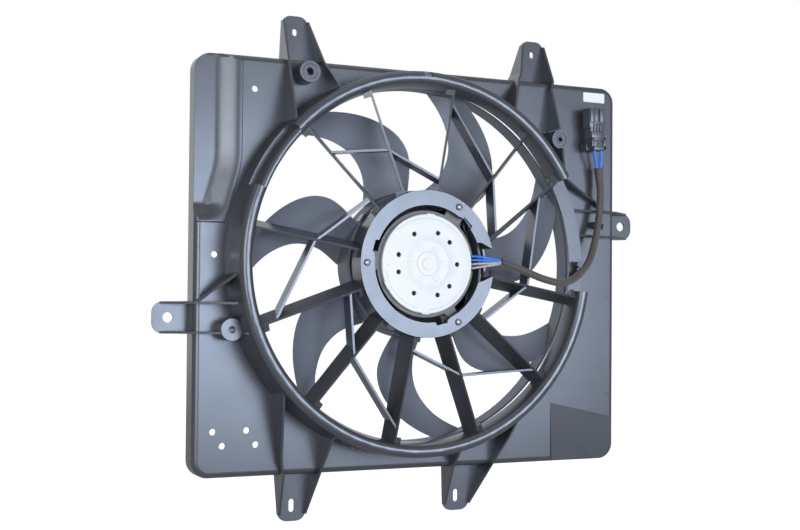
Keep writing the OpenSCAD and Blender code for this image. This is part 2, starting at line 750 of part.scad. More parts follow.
module rounded_bar(w, l, low, high, r) translate([0, 0, low]) linear_extrude(high - low) {
    square([w - 2 * r, l], center = true);
    square([w, l - 2 * r], center = true);
    for (x = [-1, 1], y = [-1, 1]) translate([x * (w / 2 - r), y * (l / 2 - r)]) circle(r = r, $fn = 32);
}

module at_plug() translate([plug_x, plug_top - plug_l / 2, 0]) children();

module connector_housing() color("#2b2d33") front() at_plug() difference() {
    union() {
        rounded_bar(plug_w, plug_l, plug_front - plug_t, plug_front - 2, 2.5);
        translate([0, -plug_l / 2 + 9, 0]) rounded_bar(plug_w, 16, plug_front - plug_t, plug_front, 2);
        for (x = [-1, 1]) translate([x * (plug_w / 2 - 4), plug_l / 2 - 10, 0])
            rounded_bar(4, 18, plug_front - 4, plug_front + 0.6, 1);
        translate([0, -plug_l / 2 + 2, 0]) rounded_bar(plug_w + 4, 3, plug_front - plug_t, plug_front - 3, 1);
    }
    for (x = [-1, 1]) translate([x * 3.2, 2, plug_front - 5]) cube([2.6, 10, 10], center = true);
    translate([0, -plug_l / 2 + 9, plug_front]) cube([12, 7, 2.4], center = true);
    for (x = [-1, 1]) translate([8 + x * 5, 0, 15]) rotate([90, 0, 0]) {
        translate([0, 0, -plug_l / 2 + 8]) cylinder(r = 1.75, h = plug_l, $fn = 32);
        translate([0, 0, plug_l / 2 - 8]) cylinder(r = seal_r + seat, h = 20, $fn = 32);
    }
}

module connector_latch() color("#33363d") front() at_plug()
    translate([0, plug_l / 2 - 13, 0]) rounded_bar(7, 20, plug_front - 2 + seat, plug_front + 1.6, 1.2);

module connector_terminals() color("#d8b25c") front() at_plug()
    for (x = [-1, 1]) translate([8 + x * 5, plug_l / 2 - 10, 15]) rotate([90, 0, 0])
        cylinder(r = 1.6, h = plug_l - 19, $fn = 24);

module connector_seal() color("#7a3d2c") front() at_plug()
    for (x = [-1, 1]) translate([8 + x * 5, -plug_l / 2 + 7.6, 15]) rotate([90, 0, 0]) difference() {
        cylinder(r = seal_r, h = 7, $fn = 32);
        translate([0, 0, 1.2]) cylinder(r = lead_d / 2 + 0.1, h = 20, $fn = 32);
    }

// Bracket that stands on the panel and carries the plug from behind
module connector_bracket() color("#26282c") front() at_plug() {
    difference() {
        union() {
            rounded_bar(plug_w - 8, plug_l - 8, seat, plug_front - plug_t - seat, 2);
            translate([-plug_w / 2 - 4.5, 0, 0]) rounded_bar(3.5, plug_l + 8, seat, plug_front - 5, 1);
            translate([-plug_w / 2 - 1, 0, seat]) cube([6, plug_l - 20, 3]);
            translate([-plug_w / 2 - 5, -6, seat]) cube([14, 12, 4]);
        }
        translate([0, 0, 3]) rounded_bar(plug_w - 14, plug_l - 14, 0, 40, 1);
    }
}

clip_post_x = 203.5;

// Clips that hold the sleeve: one on the low cut's flat top, one on the panel
module lead_clips() color("#26282c") front() {
    clip_at(7, low_cut_h + seat);
    clip_at(4, seat);
    translate([clip_post_x, 4, low_cut_h + seat]) {
        cylinder(r = 3, h = 9, $fn = 32);
        translate([0, 0, 9]) cylinder(r = 3.8, h = 1.6, $fn = 32);
    }
}

// Post under the sleeve with a saddle round it
module clip_at(i, foot) {
    p = sleeve_route[i];
    dir = sleeve_route[i + 1] - sleeve_route[i - 1];
    difference() {
        union() {
            translate([p.x, p.y, foot]) rotate(atan2(dir.y, dir.x))
                translate([-3, -sleeve_d / 2 - 2, 0]) cube([6, sleeve_d + 4, p.z - foot]);
        }
        translate(p) rotate(atan2(dir.y, dir.x)) rotate([0, 90 - atan2(dir.z, norm([dir.x, dir.y])), 0])
            translate([0, 0, -15]) cylinder(r = sleeve_d / 2 + seat, h = 30, $fn = 32);
    }
}

boss_places = [[-127, panel_top - 16], [panel_right - 91, panel_top - 70], [-axis_left + 35, -72]];

module screw_bosses() color("#34363d") front() difference() {
    for (i = [0:2]) at_xy(boss_places[i]) difference() {
        translate([0, 0, seat]) cylinder(d = i == 1 ? boss_d - 1.5 : boss_d, h = boss_h - seat, $fn = 64);
        translate([0, 0, i == 2 ? -cut : boss_h - 14]) cylinder(d = i == 1 ? boss_hole_d - 2 : boss_hole_d, h = 60, $fn = 32);
        if (i < 2) translate([0, 0, boss_h - 0.8]) tube(8, 4.5, 0, 3);
    }
    ring_keepout();
}

// Space that the ring's outer wall needs
module ring_keepout() rotate_extrude($fn = 180)
    polygon([[0, -20], [foot_r + seat, -20], [foot_r + seat, 0], [wall_top_r + seat, lip_axis_h],
        [wall_top_r + seat, clear_h], [0, clear_h]]);

// Each tab is drawn with its outward way along +y from the panel's edge.
// A rib is a path from the tab's tip over the edge to the ring, and a web one from a rib to the ring.
module tab(reach, base, tip, ribs, hole_w, hole_l, hole_y, tip_r, ring_top = lip_axis_h, web = []) {
    plate_back = -panel_depth + 1.5;
    difference() {
        union() {
            translate([0, 0, plate_back]) linear_extrude(tab_t) difference() {
                union() {
                    polygon([[base[0], -10], [base[1], -10], [tip[1], reach - tip_r], [tip[0], reach - tip_r]]);
                    for (x = [tip[0] + tip_r, tip[1] - tip_r])
                        translate([x, reach - tip_r]) circle(r = tip_r, $fn = 48);
                    translate([tip[0] + tip_r, reach - tip_r - 1]) square([tip[1] - tip[0] - 2 * tip_r, tip_r + 1]);
                }
                translate([(tip[0] + tip[1]) / 2, hole_y]) slot(hole_w, hole_l);
            }
            for (path = ribs)
                upright(path, plate_back, [[path[0].y + 1, plate_back + tab_t + 3], [0, rib_edge_h],
                    [path[len(path) - 1].y, ring_top]]);
            if (len(web) > 0)
                upright(web, seat, [[web[0].y, rib_edge_h], [web[len(web) - 1].y, ring_top]]);
        }
        children();
    }
}

// Round hole, or a slot along y where the length is greater than the width
module slot(w, l) {
    if (l > w) {
        square([w, l - w], center = true);
        for (s = [-1, 1]) translate([0, s * (l - w) / 2]) circle(d = w, $fn = 40);
    } else {
        circle(d = w, $fn = 40);
    }
}

// Wall that stands on the plan of a path, with its top edge along points of y and height
module upright(path, foot, top) intersection() {
    translate([0, 0, foot]) linear_extrude(ring_h - foot) path_plan(path, rib_t);
    translate([-200, 0, 0]) rotate([90, 0, 90]) linear_extrude(400)
        polygon(concat([[top[0].x, foot]], top, [[top[len(top) - 1].x - 40, top[len(top) - 1].y],
            [top[len(top) - 1].x - 40, foot]]));
}

module shroud_keepout() {
    tray_form(-seat, seat, -panel_depth - 40);
    ring_keepout();
}

tab_places = [
    [-129.5, panel_top, 0], [173.5, panel_top, 0], [-127.6, -axis_low, 180], [75.5, -axis_low, 180],
    [-axis_left, -60, 90], [panel_right, 54, -90]
];

module at_tab(i) translate([tab_places[i].x, tab_places[i].y, 0]) rotate(tab_places[i][2]) children();

module tab_raw(i) at_tab(i) {
    if (i == 0) tab(tab_reach_top, [-17.5, 25.5], [-15.5, 15.5],
        [[[-14.2, 46], [-16.2, 0], [-20, -75]], [[14.2, 46], [24.2, 0], [33, -40]]], top_slot_w, top_slot_l, 34, 11);
    if (i == 1) tab(tab_reach_top, [-30, 17], [-16, 15.5],
        [[[-14.7, 46], [-28, 8], [-33, 0], [-62, -56]],
         [[14.2, 46], [14.2, 2], [9.5, -10], [11.5, -70], [5.5, -116]]],
        top_slot_w, top_slot_l, 36, 11);
    if (i == 2) tab(tab_reach_low, [-24, 20.5], [-16, 16.5],
        [[[-14.7, 46], [-22.4, 0], [-24.5, -40], [-30, -50]], [[15.2, 46], [19.2, 0], [24, -16], [33, -100]]],
        slot_w, slot_l, 36.5, 11);
    if (i == 3) tab(tab_reach_low, [-33, 19.5], [-15.5, 18],
        [[[-14.2, 46], [-31.5, 0], [-42, -36], [-46, -60]], [[16.7, 46], [18.2, 0], [21, -40]]],
        slot_w, slot_l, 36.5, 11);
    if (i == 4) tab(tab_reach_side, [-17.5, 17.5], [-17, 17],
        [[[-15.6, 30], [-15.6, -60]], [[15.6, 30], [15.6, -60]]],
        side_hole_d, side_hole_d, 22, 12, lip_axis_h, [[15.6, -1], [28, -14], [38, -26], [52, -41]]);
    if (i == 5) tab(tab_reach_side, [-17.5, 17.5], [-16.5, 16.5],
        [[[-15, 30], [-15, -90]], [[15, 30], [15, -90]]],
        side_hole_d, side_hole_d, 24, 13, mouth_low - 10,
        [[-15, -16], [-25, -31], [-39.5, -58], [-54.5, -84], [-58, -94]]);
}

module mounting_tabs() color("#2a2c31") front() difference() {
    for (i = [0:5]) tab_raw(i);
    shroud_keepout();
    for (p = boss_places) at_xy(p) translate([0, 0, -wall]) cylinder(d = boss_d + 2 * seat, h = clear_h, $fn = 64);
}

module fan_hub() color("#202226") front() {
    difference() {
        translate([0, 0, hub_back]) rotate_extrude($fn = 180) difference() {
            union() {
                square([hub_r - hub_corner_r, hub_depth]);
                translate([0, hub_corner_r]) square([hub_r, hub_depth - hub_corner_r]);
                translate([hub_r - hub_corner_r, hub_corner_r]) circle(r = hub_corner_r, $fn = 48);
            }
            union() {
                translate([0, hub_wall]) square([hub_r - hub_corner_r, hub_depth]);
                translate([0, hub_corner_r]) square([hub_r - hub_wall, hub_depth]);
                translate([hub_r - hub_corner_r, hub_corner_r]) circle(r = hub_corner_r - hub_wall, $fn = 48);
            }
        }
        translate([0, 0, hub_back - 10]) cylinder(r = insert_r + seat, h = 60);
    }
    tube(hub_boss_r, insert_r + seat, hub_back + hub_wall / 2, hub_boss_front);
    for (k = [0:blade_count - 1]) rotate(360 / blade_count * k + 20)
        translate([hub_boss_r - 1, -1, hub_back + hub_wall / 2])
            cube([hub_r - hub_wall - hub_boss_r + 2, 2, hub_wall + 1]);
}

insert_r = 8;
hub_boss_front = can_back - 3 - 1.4;

module hub_insert() color("#b4b7ba") front()
    tube(insert_r, shaft_r + running, hub_back - 1, hub_boss_front);

// Leading edge of a blade: share of the span, degrees
blade_lead = [[0, 129.5], [0.15, 122], [0.3, 119.3], [0.5, 120.1], [0.72, 125], [0.86, 129.6], [1, 135]];
// Trailing edge of a blade
blade_trail = [[0, 96.8], [0.14, 94.6], [0.34, 94.1], [0.5, 97.4], [0.62, 102], [0.74, 108], [0.87, 115.4], [1, 123.5]];
// Height of the leading edge
blade_low = [[0, -8], [0.25, -3], [0.5, -0.5], [1, 0.6]];
stations = 14;
chord_steps = 8;
// The flat facets at a blade's root still clear the hub
blade_root_r = (hub_r + seat) / cos((blade_lead[0].y - blade_trail[0].y) * sin(90 / chord_steps) / 2);

function blade_u(i) = (1 - cos(180 * i / chord_steps)) / 2;
function blade_half(u) = blade_t / 2 * (0.34 + 0.66 * sin(180 * pow(u, 0.75)));
function blade_point(s, i, side) =
    let (r = blade_root_r + s * (band_in_r - seat - blade_root_r),
         u = blade_u(i),
         a0 = curve_at(blade_lead, s), a1 = curve_at(blade_trail, s),
         h0 = curve_at(blade_low, s), h1 = band_l - 0.6,
         run = (a1 - a0) * PI / 180 * r, rise = h1 - h0, chord = norm([run, rise]),
         off = side * blade_half(u),
         a = a0 + (a1 - a0) * u - off * rise / chord / r * 180 / PI,
         h = h0 + rise * u - 4 * blade_camber * u * (1 - u) + off * run / chord)
    [r * cos(a), r * sin(a), h];

// One blade lofted through sections that lie on cylinders round the fan's axis
module blade() {
    ring = 2 * (chord_steps + 1);
    points = [for (s = [0:stations - 1]) each concat(
        [for (i = [0:chord_steps]) blade_point(s / (stations - 1), i, 1)],
        [for (i = [chord_steps:-1:0]) blade_point(s / (stations - 1), i, -1)])];
    last = (stations - 1) * ring;
    faces = concat(
        [for (k = [0:chord_steps - 1])
            let (a = k, b = k + 1, c = ring - 2 - k, d = ring - 1 - k) each [[a, c, b], [a, d, c]]],
        [for (s = [0:stations - 2], k = [0:ring - 1])
            let (a = s * ring + k, b = s * ring + (k + 1) % ring) each [[a, b, a + ring], [b, b + ring, a + ring]]],
        [for (k = [0:chord_steps - 1])
            let (a = last + k, b = a + 1, c = last + ring - 2 - k, d = c + 1) each [[a, b, c], [a, c, d]]]
    );
    polyhedron(points, faces, convexity = 6);
}

module fan_blades() color("#202226") front()
    for (k = [0:blade_count - 1]) rotate(360 / blade_count * k) blade();

module fan_band() color("#202226") front() {
    tube(band_out_r, band_in_r, 0, band_l);
}

module balance_clip() color("#9b9ea2") front() rotate(143) difference() {
    $fn = 360;
    translate([hub_r - hub_wall - 1.1, -5, hub_front - 9]) cube([hub_wall + 2.3, 10, 10.2]);
    translate([0, 0, hub_front - 12]) tube(hub_r + seat, hub_r - hub_wall - seat, 0, 12 + seat);
}

module motor_shaft() color("#c9ccd0") front() difference() {
    translate([0, 0, hub_back - 6]) cylinder(r = shaft_r, h = can_front - 1 - hub_back + 6);
    tube(shaft_r + 2, shaft_r - 0.5, hub_back - 3.2, hub_back - 1.8);
}

module shaft_clip() color("#7f8286") front() difference() {
    tube(shaft_r + 3.5, shaft_r - 0.5 + seat, hub_back - 3.2 + 0.1, hub_back - 1.8 - 0.1);
    translate([0, -shaft_r + 1, hub_back - 6]) cube([20, 2 * shaft_r - 2, 10]);
}

module armature_core() color("#8b8e93") front() difference() {
    tube(armature_r, shaft_r + running, core_back, core_front);
    for (k = [0:slot_count - 1]) rotate(360 / slot_count * k) {
        translate([armature_r - 12, 0, core_back - cut]) cylinder(r = 3, h = 40, $fn = 24);
        translate([armature_r - 12, -1.2, core_back - cut]) cube([20, 2.4, 40]);
    }
}

module armature_windings() color("#b5652d") front() for (low = [core_back - winding_l - seat + 2, core_front + seat])
    translate([0, 0, low]) rotate_extrude($fn = 96) translate([shaft_r + 10, 0]) square([armature_r - shaft_r - 13, winding_l - 2]);

module commutator() color("#c07f45") front() difference() {
    tube(commutator_r, shaft_r + running, brush_low - 1, commutator_top);
    for (k = [0:slot_count - 1]) rotate(360 / slot_count * k)
        translate([commutator_r - 1.5, -0.3, brush_low - 2]) cube([3, 0.6, 20]);
}

module thrust_washers() color("#d7d9db") front() {
    tube(shaft_r + 3, shaft_r + running, core_back - 1.5, core_back - seat);
    tube(shaft_r + 2.5, shaft_r + running, commutator_top + seat, front_bush_low - 0.5);
}

shroud_panel();
shroud_ring();
support_arms();
motor_carrier();
mounting_tabs();
screw_bosses();
motor_screws();
motor_can();
motor_flange();
motor_end_plate();
motor_magnets();
bearing_bushes();
brush_card();
brush_holders();
brushes();
brush_springs();
motor_grommet();
motor_leads();
lead_sleeve();
lead_clips();
connector_bracket();
connector_housing();
connector_latch();
connector_terminals();
connector_seal();
connector_leads();
fan_hub();
fan_blades();
fan_band();
hub_insert();
balance_clip();
motor_shaft();
armature_core();
armature_windings();
commutator();
thrust_washers();
shaft_clip();
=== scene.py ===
import json
import math

import bmesh
import bpy
from bpy.props import FloatProperty, FloatVectorProperty, PointerProperty
from mathutils import Matrix, Vector


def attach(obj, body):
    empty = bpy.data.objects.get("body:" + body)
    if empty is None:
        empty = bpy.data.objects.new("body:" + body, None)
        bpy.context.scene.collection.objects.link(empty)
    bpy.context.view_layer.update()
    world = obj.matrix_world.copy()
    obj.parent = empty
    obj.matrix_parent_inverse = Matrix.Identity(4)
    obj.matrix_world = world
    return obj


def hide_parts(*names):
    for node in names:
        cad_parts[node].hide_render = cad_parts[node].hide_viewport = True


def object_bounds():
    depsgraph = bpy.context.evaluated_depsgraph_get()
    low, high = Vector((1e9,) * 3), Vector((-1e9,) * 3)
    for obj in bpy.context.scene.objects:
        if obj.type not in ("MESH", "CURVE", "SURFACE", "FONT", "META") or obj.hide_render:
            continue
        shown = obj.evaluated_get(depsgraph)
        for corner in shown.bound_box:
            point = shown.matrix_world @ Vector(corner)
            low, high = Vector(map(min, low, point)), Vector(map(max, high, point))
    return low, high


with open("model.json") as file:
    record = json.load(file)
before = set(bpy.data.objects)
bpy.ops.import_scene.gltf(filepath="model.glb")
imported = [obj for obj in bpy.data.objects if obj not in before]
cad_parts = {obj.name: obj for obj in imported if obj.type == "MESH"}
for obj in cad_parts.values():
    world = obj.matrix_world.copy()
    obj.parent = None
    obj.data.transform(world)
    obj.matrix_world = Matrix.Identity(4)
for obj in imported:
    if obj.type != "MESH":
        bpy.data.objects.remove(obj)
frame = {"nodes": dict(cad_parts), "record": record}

bl_info = {
    "name": "Radiator fan looks",
    "version": (1, 0, 0),
    "blender": (4, 5, 0),
    "location": "3D View > Sidebar > Radiator Fan",
    "description": "Dresses the packed radiator fan: plastics, motor, blades, lead, plug and stage",
    "category": "Object",
}

MM = 0.001
CAD_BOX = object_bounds()
NODES = frame["nodes"]


def front(x, y, h):
    """A point given in mm as right, up and towards the motor side, in scene coordinates."""
    return Vector((x, -h, y)) * MM


def to_front(bm):
    """Turns a mesh drawn in mm, with z towards the motor side, into the scene's frame and metres."""
    bmesh.ops.rotate(bm, verts=bm.verts, cent=(0, 0, 0), matrix=Matrix.Rotation(math.radians(90), 3, "X"))
    bmesh.ops.scale(bm, verts=bm.verts, vec=(MM, MM, MM))


# Sizes and colours that a user would change

class FanSizes(bpy.types.PropertyGroup):
    """Sizes of what the looks add to the construction"""

    edge_round: FloatProperty(name="Edge rounding", description="Radius of the moulded edges",
                              default=0.55 * MM, min=0.0, unit="LENGTH")
    metal_round: FloatProperty(name="Metal edge rounding", description="Radius of the pressed metal edges",
                               default=0.25 * MM, min=0.0, unit="LENGTH")
    sleeve_d: FloatProperty(name="Sleeve diameter", description="Outer diameter of the lead's sleeve",
                            default=8.4 * MM, unit="LENGTH")
    plug_lead_d: FloatProperty(name="Plug lead diameter", description="Diameter of a lead at the plug",
                               default=4.0 * MM, unit="LENGTH")
    motor_lead_d: FloatProperty(name="Motor lead diameter", description="Diameter of a lead at the motor",
                                default=2.8 * MM, unit="LENGTH")
    label_w: FloatProperty(name="Label width", description="Width of the blank label",
                           default=30 * MM, unit="LENGTH")
    label_h: FloatProperty(name="Label height", description="Height of the blank label",
                           default=11.5 * MM, unit="LENGTH")


class FanColours(bpy.types.PropertyGroup):
    """Colours of the object's finishes"""

    shroud: FloatVectorProperty(name="Shroud", description="Moulded shroud plastic", subtype="COLOR",
                                size=3, default=(0.040, 0.040, 0.045), min=0, max=1)
    # Lighter and bluer than the shroud: the fan's own plastic with painted sheen for the blades' bluish
    # reflection
    fan: FloatVectorProperty(name="Fan", description="Moulded fan plastic", subtype="COLOR",
                             size=3, default=(0.118, 0.129, 0.162), min=0, max=1)
    plug: FloatVectorProperty(name="Plug", description="Plug plastic", subtype="COLOR",
                              size=3, default=(0.055, 0.058, 0.075), min=0, max=1)
    zinc: FloatVectorProperty(name="Zinc", description="Bright zinc plating", subtype="COLOR",
                              size=3, default=(0.74, 0.75, 0.76), min=0, max=1)
    steel: FloatVectorProperty(name="Steel", description="Plated steel", subtype="COLOR",
                               size=3, default=(0.50, 0.51, 0.53), min=0, max=1)
    blue_lead: FloatVectorProperty(name="Blue lead", description="Blue lead jacket", subtype="COLOR",
                                   size=3, default=(0.035, 0.20, 0.72), min=0, max=1)
    grey_lead: FloatVectorProperty(name="Grey lead", description="Pale grey lead jacket", subtype="COLOR",
                                   size=3, default=(0.42, 0.40, 0.42), min=0, max=1)
    sleeve: FloatVectorProperty(name="Sleeve", description="Woven sleeve of the lead", subtype="COLOR",
                                size=3, default=(0.075, 0.064, 0.062), min=0, max=1)
    label: FloatVectorProperty(name="Label", description="Blank paper label", subtype="COLOR",
                               size=3, default=(0.82, 0.84, 0.86), min=0, max=1)


def sizes():
    """The scene's own sizes."""
    return bpy.context.scene.fan_sizes


def colours():
    """The scene's own colours."""
    return bpy.context.scene.fan_colours


# Finishes

class Link:
    """An output socket that takes part in Python arithmetic: each operator adds a Math node."""

    def __init__(self, finish, socket):
        self.finish = finish
        self.socket = socket

    def math(self, operation, *values):
        """Adds a Math node for one operation on values or links."""
        return self.finish.node("ShaderNodeMath", {"operation": operation}, dict(enumerate(values)))

    def __add__(self, other):
        return self.math("ADD", self, other)

    __radd__ = __add__

    def __sub__(self, other):
        return self.math("SUBTRACT", self, other)

    def __rsub__(self, other):
        return self.math("SUBTRACT", other, self)

    def __mul__(self, other):
        return self.math("MULTIPLY", self, other)

    __rmul__ = __mul__

    def ramp(self, low, high):
        """Rises smoothly from 0 at low to 1 at high."""
        return self.finish.node("ShaderNodeMapRange", {"interpolation_type": "SMOOTHSTEP"},
                                {"Value": self, "From Min": low, "From Max": high})


class Finish:
    """A material: one Principled shader and the nodes that feed it."""

    def __init__(self, name, constants):
        self.material = bpy.data.materials.new(name)
        self.material.use_nodes = True
        self.tree = self.material.node_tree
        self.shader = self.tree.nodes["Principled BSDF"]
        for socket, value in constants.items():
            self.shader.inputs[socket].default_value = value

    def node(self, kind, settings, sockets, output=0):
        """Adds a node: its settings first, then the values or links of its sockets."""
        made = self.tree.nodes.new(kind)
        for key, value in settings.items():
            setattr(made, key, value)
        for key, value in sockets.items():
            if isinstance(value, Link):
                self.tree.links.new(value.socket, made.inputs[key])
            else:
                made.inputs[key].default_value = value
        return Link(self, made.outputs[output])

    def place(self):
        """The object's own coordinates."""
        return self.node("ShaderNodeTexCoord", {}, {}, "Object")

    def stretched(self, scale, turn=(0, 0, 0)):
        """The object's coordinates, turned and scaled, for marks that run one way."""
        return self.node("ShaderNodeMapping", {}, {
            "Vector": self.place(), "Scale": scale, "Rotation": turn})

    def noise(self, scale, detail, vector=None):
        """Soft noise on the object's coordinates, or on a given vector."""
        return self.node("ShaderNodeTexNoise", {}, {
            "Vector": vector or self.place(), "Scale": scale, "Detail": detail})

    def cells(self, scale, output="Distance"):
        """Irregular cells on the object's coordinates."""
        return self.node("ShaderNodeTexVoronoi", {}, {"Vector": self.place(), "Scale": scale}, output)

    def mix(self, factor, low, high):
        """Mixes two colours, given as values or links."""
        whole = [value if isinstance(value, Link) else (*value, 1) for value in (low, high)]
        return self.node("ShaderNodeMix", {"data_type": "RGBA"}, {0: factor, 6: whole[0], 7: whole[1]}, 2)

    def feed(self, socket, link):
        """Joins a link to one of the shader's inputs."""
        self.tree.links.new(link.socket, self.shader.inputs[socket])

    def bump(self, height, depth, strength):
        """Feeds a height, in shares of depth, to the shader's normal."""
        self.feed("Normal", self.node("ShaderNodeBump", {}, {
            "Height": height, "Distance": depth, "Strength": strength}))


def shade(colour, factor):
    """A colour made darker or lighter by a factor."""
    return tuple(min(1.0, channel * factor) for channel in colour)


def moulded_plastic(name, colour, roughness, grain=0.05 * MM):
    """Satin moulding: fine spark-eroded grain, slow flow marks, faint rubs and dust."""
    # The blue specular tint is painted reflection: every reflection takes the blue of a bluish lamp
    painted_reflection_tint = (0.78, 0.86, 1.0, 1)
    finish = Finish(name, {"Specular IOR Level": 1.0, "IOR": 1.6, "Specular Tint": painted_reflection_tint})
    flow = finish.noise(7, 3, finish.stretched((1, 1, 2.2), (0, 0.5, 0.3)))
    patch = finish.noise(38, 4)
    texture = finish.noise(1500, 2)
    rubs = finish.noise(60, 3, finish.stretched((1.0, 1.0, 5.0), (0.4, 0.9, 0.2))).ramp(0.66, 0.80)
    dust = finish.cells(330).ramp(0.075, 0.03) * finish.noise(24, 2).ramp(0.5, 0.66)
    plain = finish.mix(flow, shade(colour, 0.86), shade(colour, 1.16))
    rubbed = finish.mix(rubs * 0.25, plain, shade(colour, 1.7))
    finish.feed("Base Color", finish.mix(dust * 0.5, rubbed, (0.30, 0.30, 0.31)))
    finish.feed("Roughness", roughness + (flow - 0.5) * 0.10 + (patch - 0.5) * 0.10
                + (texture - 0.5) * 0.05 - rubs * 0.03 + dust * 0.2)
    finish.bump(texture * 0.7 + patch * 0.5, grain, 0.35)
    return finish.material


def zinc_plate(name, colour, roughness, metallic, stain=0.10):
    """Plated sheet metal: a fine spangle, handling clouds and short press marks."""
    finish = Finish(name, {"Metallic": metallic})
    spangle = finish.cells(420, "Color")
    cloud = finish.noise(34, 4)
    press = finish.noise(90, 3, finish.stretched((9.0, 1.0, 1.0), (0.0, 0.7, 0.0)))
    grey = finish.node("ShaderNodeRGBToBW", {}, {"Color": spangle})
    dull = shade(colour, 1 - stain)
    bright = shade(colour, 1.0 + stain * 0.4)
    finish.feed("Base Color", finish.mix(grey * 0.35 + cloud * 0.5, dull, bright))
    finish.feed("Roughness", roughness + (cloud - 0.5) * 0.16 + (grey - 0.5) * 0.05 + (press - 0.5) * 0.08)
    finish.bump(grey * 0.3 + press * 0.7, 0.04 * MM, 0.4)
    return finish.material


def plain_metal(name, colour, roughness):
    """Turned or pressed metal with fine tool marks."""
    finish = Finish(name, {"Metallic": 1.0})
    marks = finish.noise(220, 3, finish.stretched((1, 6, 1)))
    worn = finish.noise(70, 3)
    finish.feed("Base Color", finish.mix(worn, shade(colour, 0.82), shade(colour, 1.12)))
    finish.feed("Roughness", roughness + (marks - 0.5) * 0.12 + (worn - 0.5) * 0.10)
    finish.bump(marks, 0.03 * MM, 0.4)
    return finish.material


def soft_rubber(name, colour):
    """Dull rubber with a chalky bloom."""
    finish = Finish(name, {"Specular IOR Level": 0.35})
    chalk = finish.noise(120, 4)
    finish.feed("Base Color", finish.mix(chalk.ramp(0.4, 0.75), colour, shade(colour, 2.0)))
    finish.feed("Roughness", 0.68 + chalk * 0.16)
    finish.bump(finish.noise(900, 2), 0.05 * MM, 0.4)
    return finish.material


def lead_jacket(name, colour):
    """Extruded jacket: smooth, with drawn lines along the lead and handling marks."""
    finish = Finish(name, {"Specular IOR Level": 0.5})
    along = finish.node("ShaderNodeUVMap", {"uv_map": "UVMap"}, {})
    lines = finish.node("ShaderNodeMapping", {}, {"Vector": along, "Scale": (1, 14, 1)})
    drawn = finish.noise(9, 2, lines)
    marks = finish.noise(260, 3)
    finish.feed("Base Color", finish.mix(marks.ramp(0.35, 0.75), shade(colour, 0.85), shade(colour, 1.15)))
    finish.feed("Roughness", 0.36 + (drawn - 0.5) * 0.12 + (marks - 0.5) * 0.14)
    finish.bump(drawn, 0.05 * MM, 0.3)
    return finish.material


def woven_sleeve(name, colour, turns, crossings):
    """Woven sleeve: two sets of flat yarns that cross on the bias and pass over and under."""
    finish = Finish(name, {"Specular IOR Level": 0.45, "Sheen Weight": 0.25, "Sheen Roughness": 0.5})
    along = finish.node("ShaderNodeUVMap", {"uv_map": "UVMap"}, {})
    split = finish.node("ShaderNodeSeparateXYZ", {}, {"Vector": along}, 0)
    across = Link(finish, split.socket.node.outputs[1])
    right_bias = split * turns + across * crossings
    left_bias = split * turns - across * crossings
    one = right_bias.math("PINGPONG", right_bias, 0.5)
    two = left_bias.math("PINGPONG", left_bias, 0.5)
    yarn = one.math("MAXIMUM", one, two)
    gap = yarn.ramp(0.20, 0.34)
    fuzz = finish.noise(700, 3)
    wear = finish.noise(45, 3)
    tone = finish.mix(wear, shade(colour, 0.80), shade(colour, 1.45))
    # The gaps between the yarns are painted darker: painted shade
    finish.feed("Base Color", finish.mix(gap, shade(colour, 0.45), tone))
    finish.feed("Roughness", 0.60 - gap * 0.12 + (fuzz - 0.5) * 0.15)
    finish.bump(yarn * 2.0 + fuzz * 0.15, 0.22 * MM, 0.6)
    return finish.material


def paper_label(name, colour):
    """Pale paper with fine fibres."""
    finish = Finish(name, {})
    fibre = finish.noise(600, 3)
    finish.feed("Base Color", finish.mix(fibre, shade(colour, 0.97), shade(colour, 1.03)))
    finish.feed("Roughness", 0.42 + fibre * 0.12)
    finish.bump(fibre, 0.02 * MM, 0.3)
    return finish.material


def sintered(name, colour, roughness=0.7):
    """Ferrite, carbon or card: dull, with a fine grain."""
    finish = Finish(name, {"Specular IOR Level": 0.4})
    grain = finish.noise(800, 3)
    cloud = finish.noise(50, 3)
    finish.feed("Base Color", finish.mix(cloud, shade(colour, 0.8), shade(colour, 1.25)))
    finish.feed("Roughness", roughness + (grain - 0.5) * 0.12)
    finish.bump(grain, 0.04 * MM, 0.5)
    return finish.material


MADE = {}


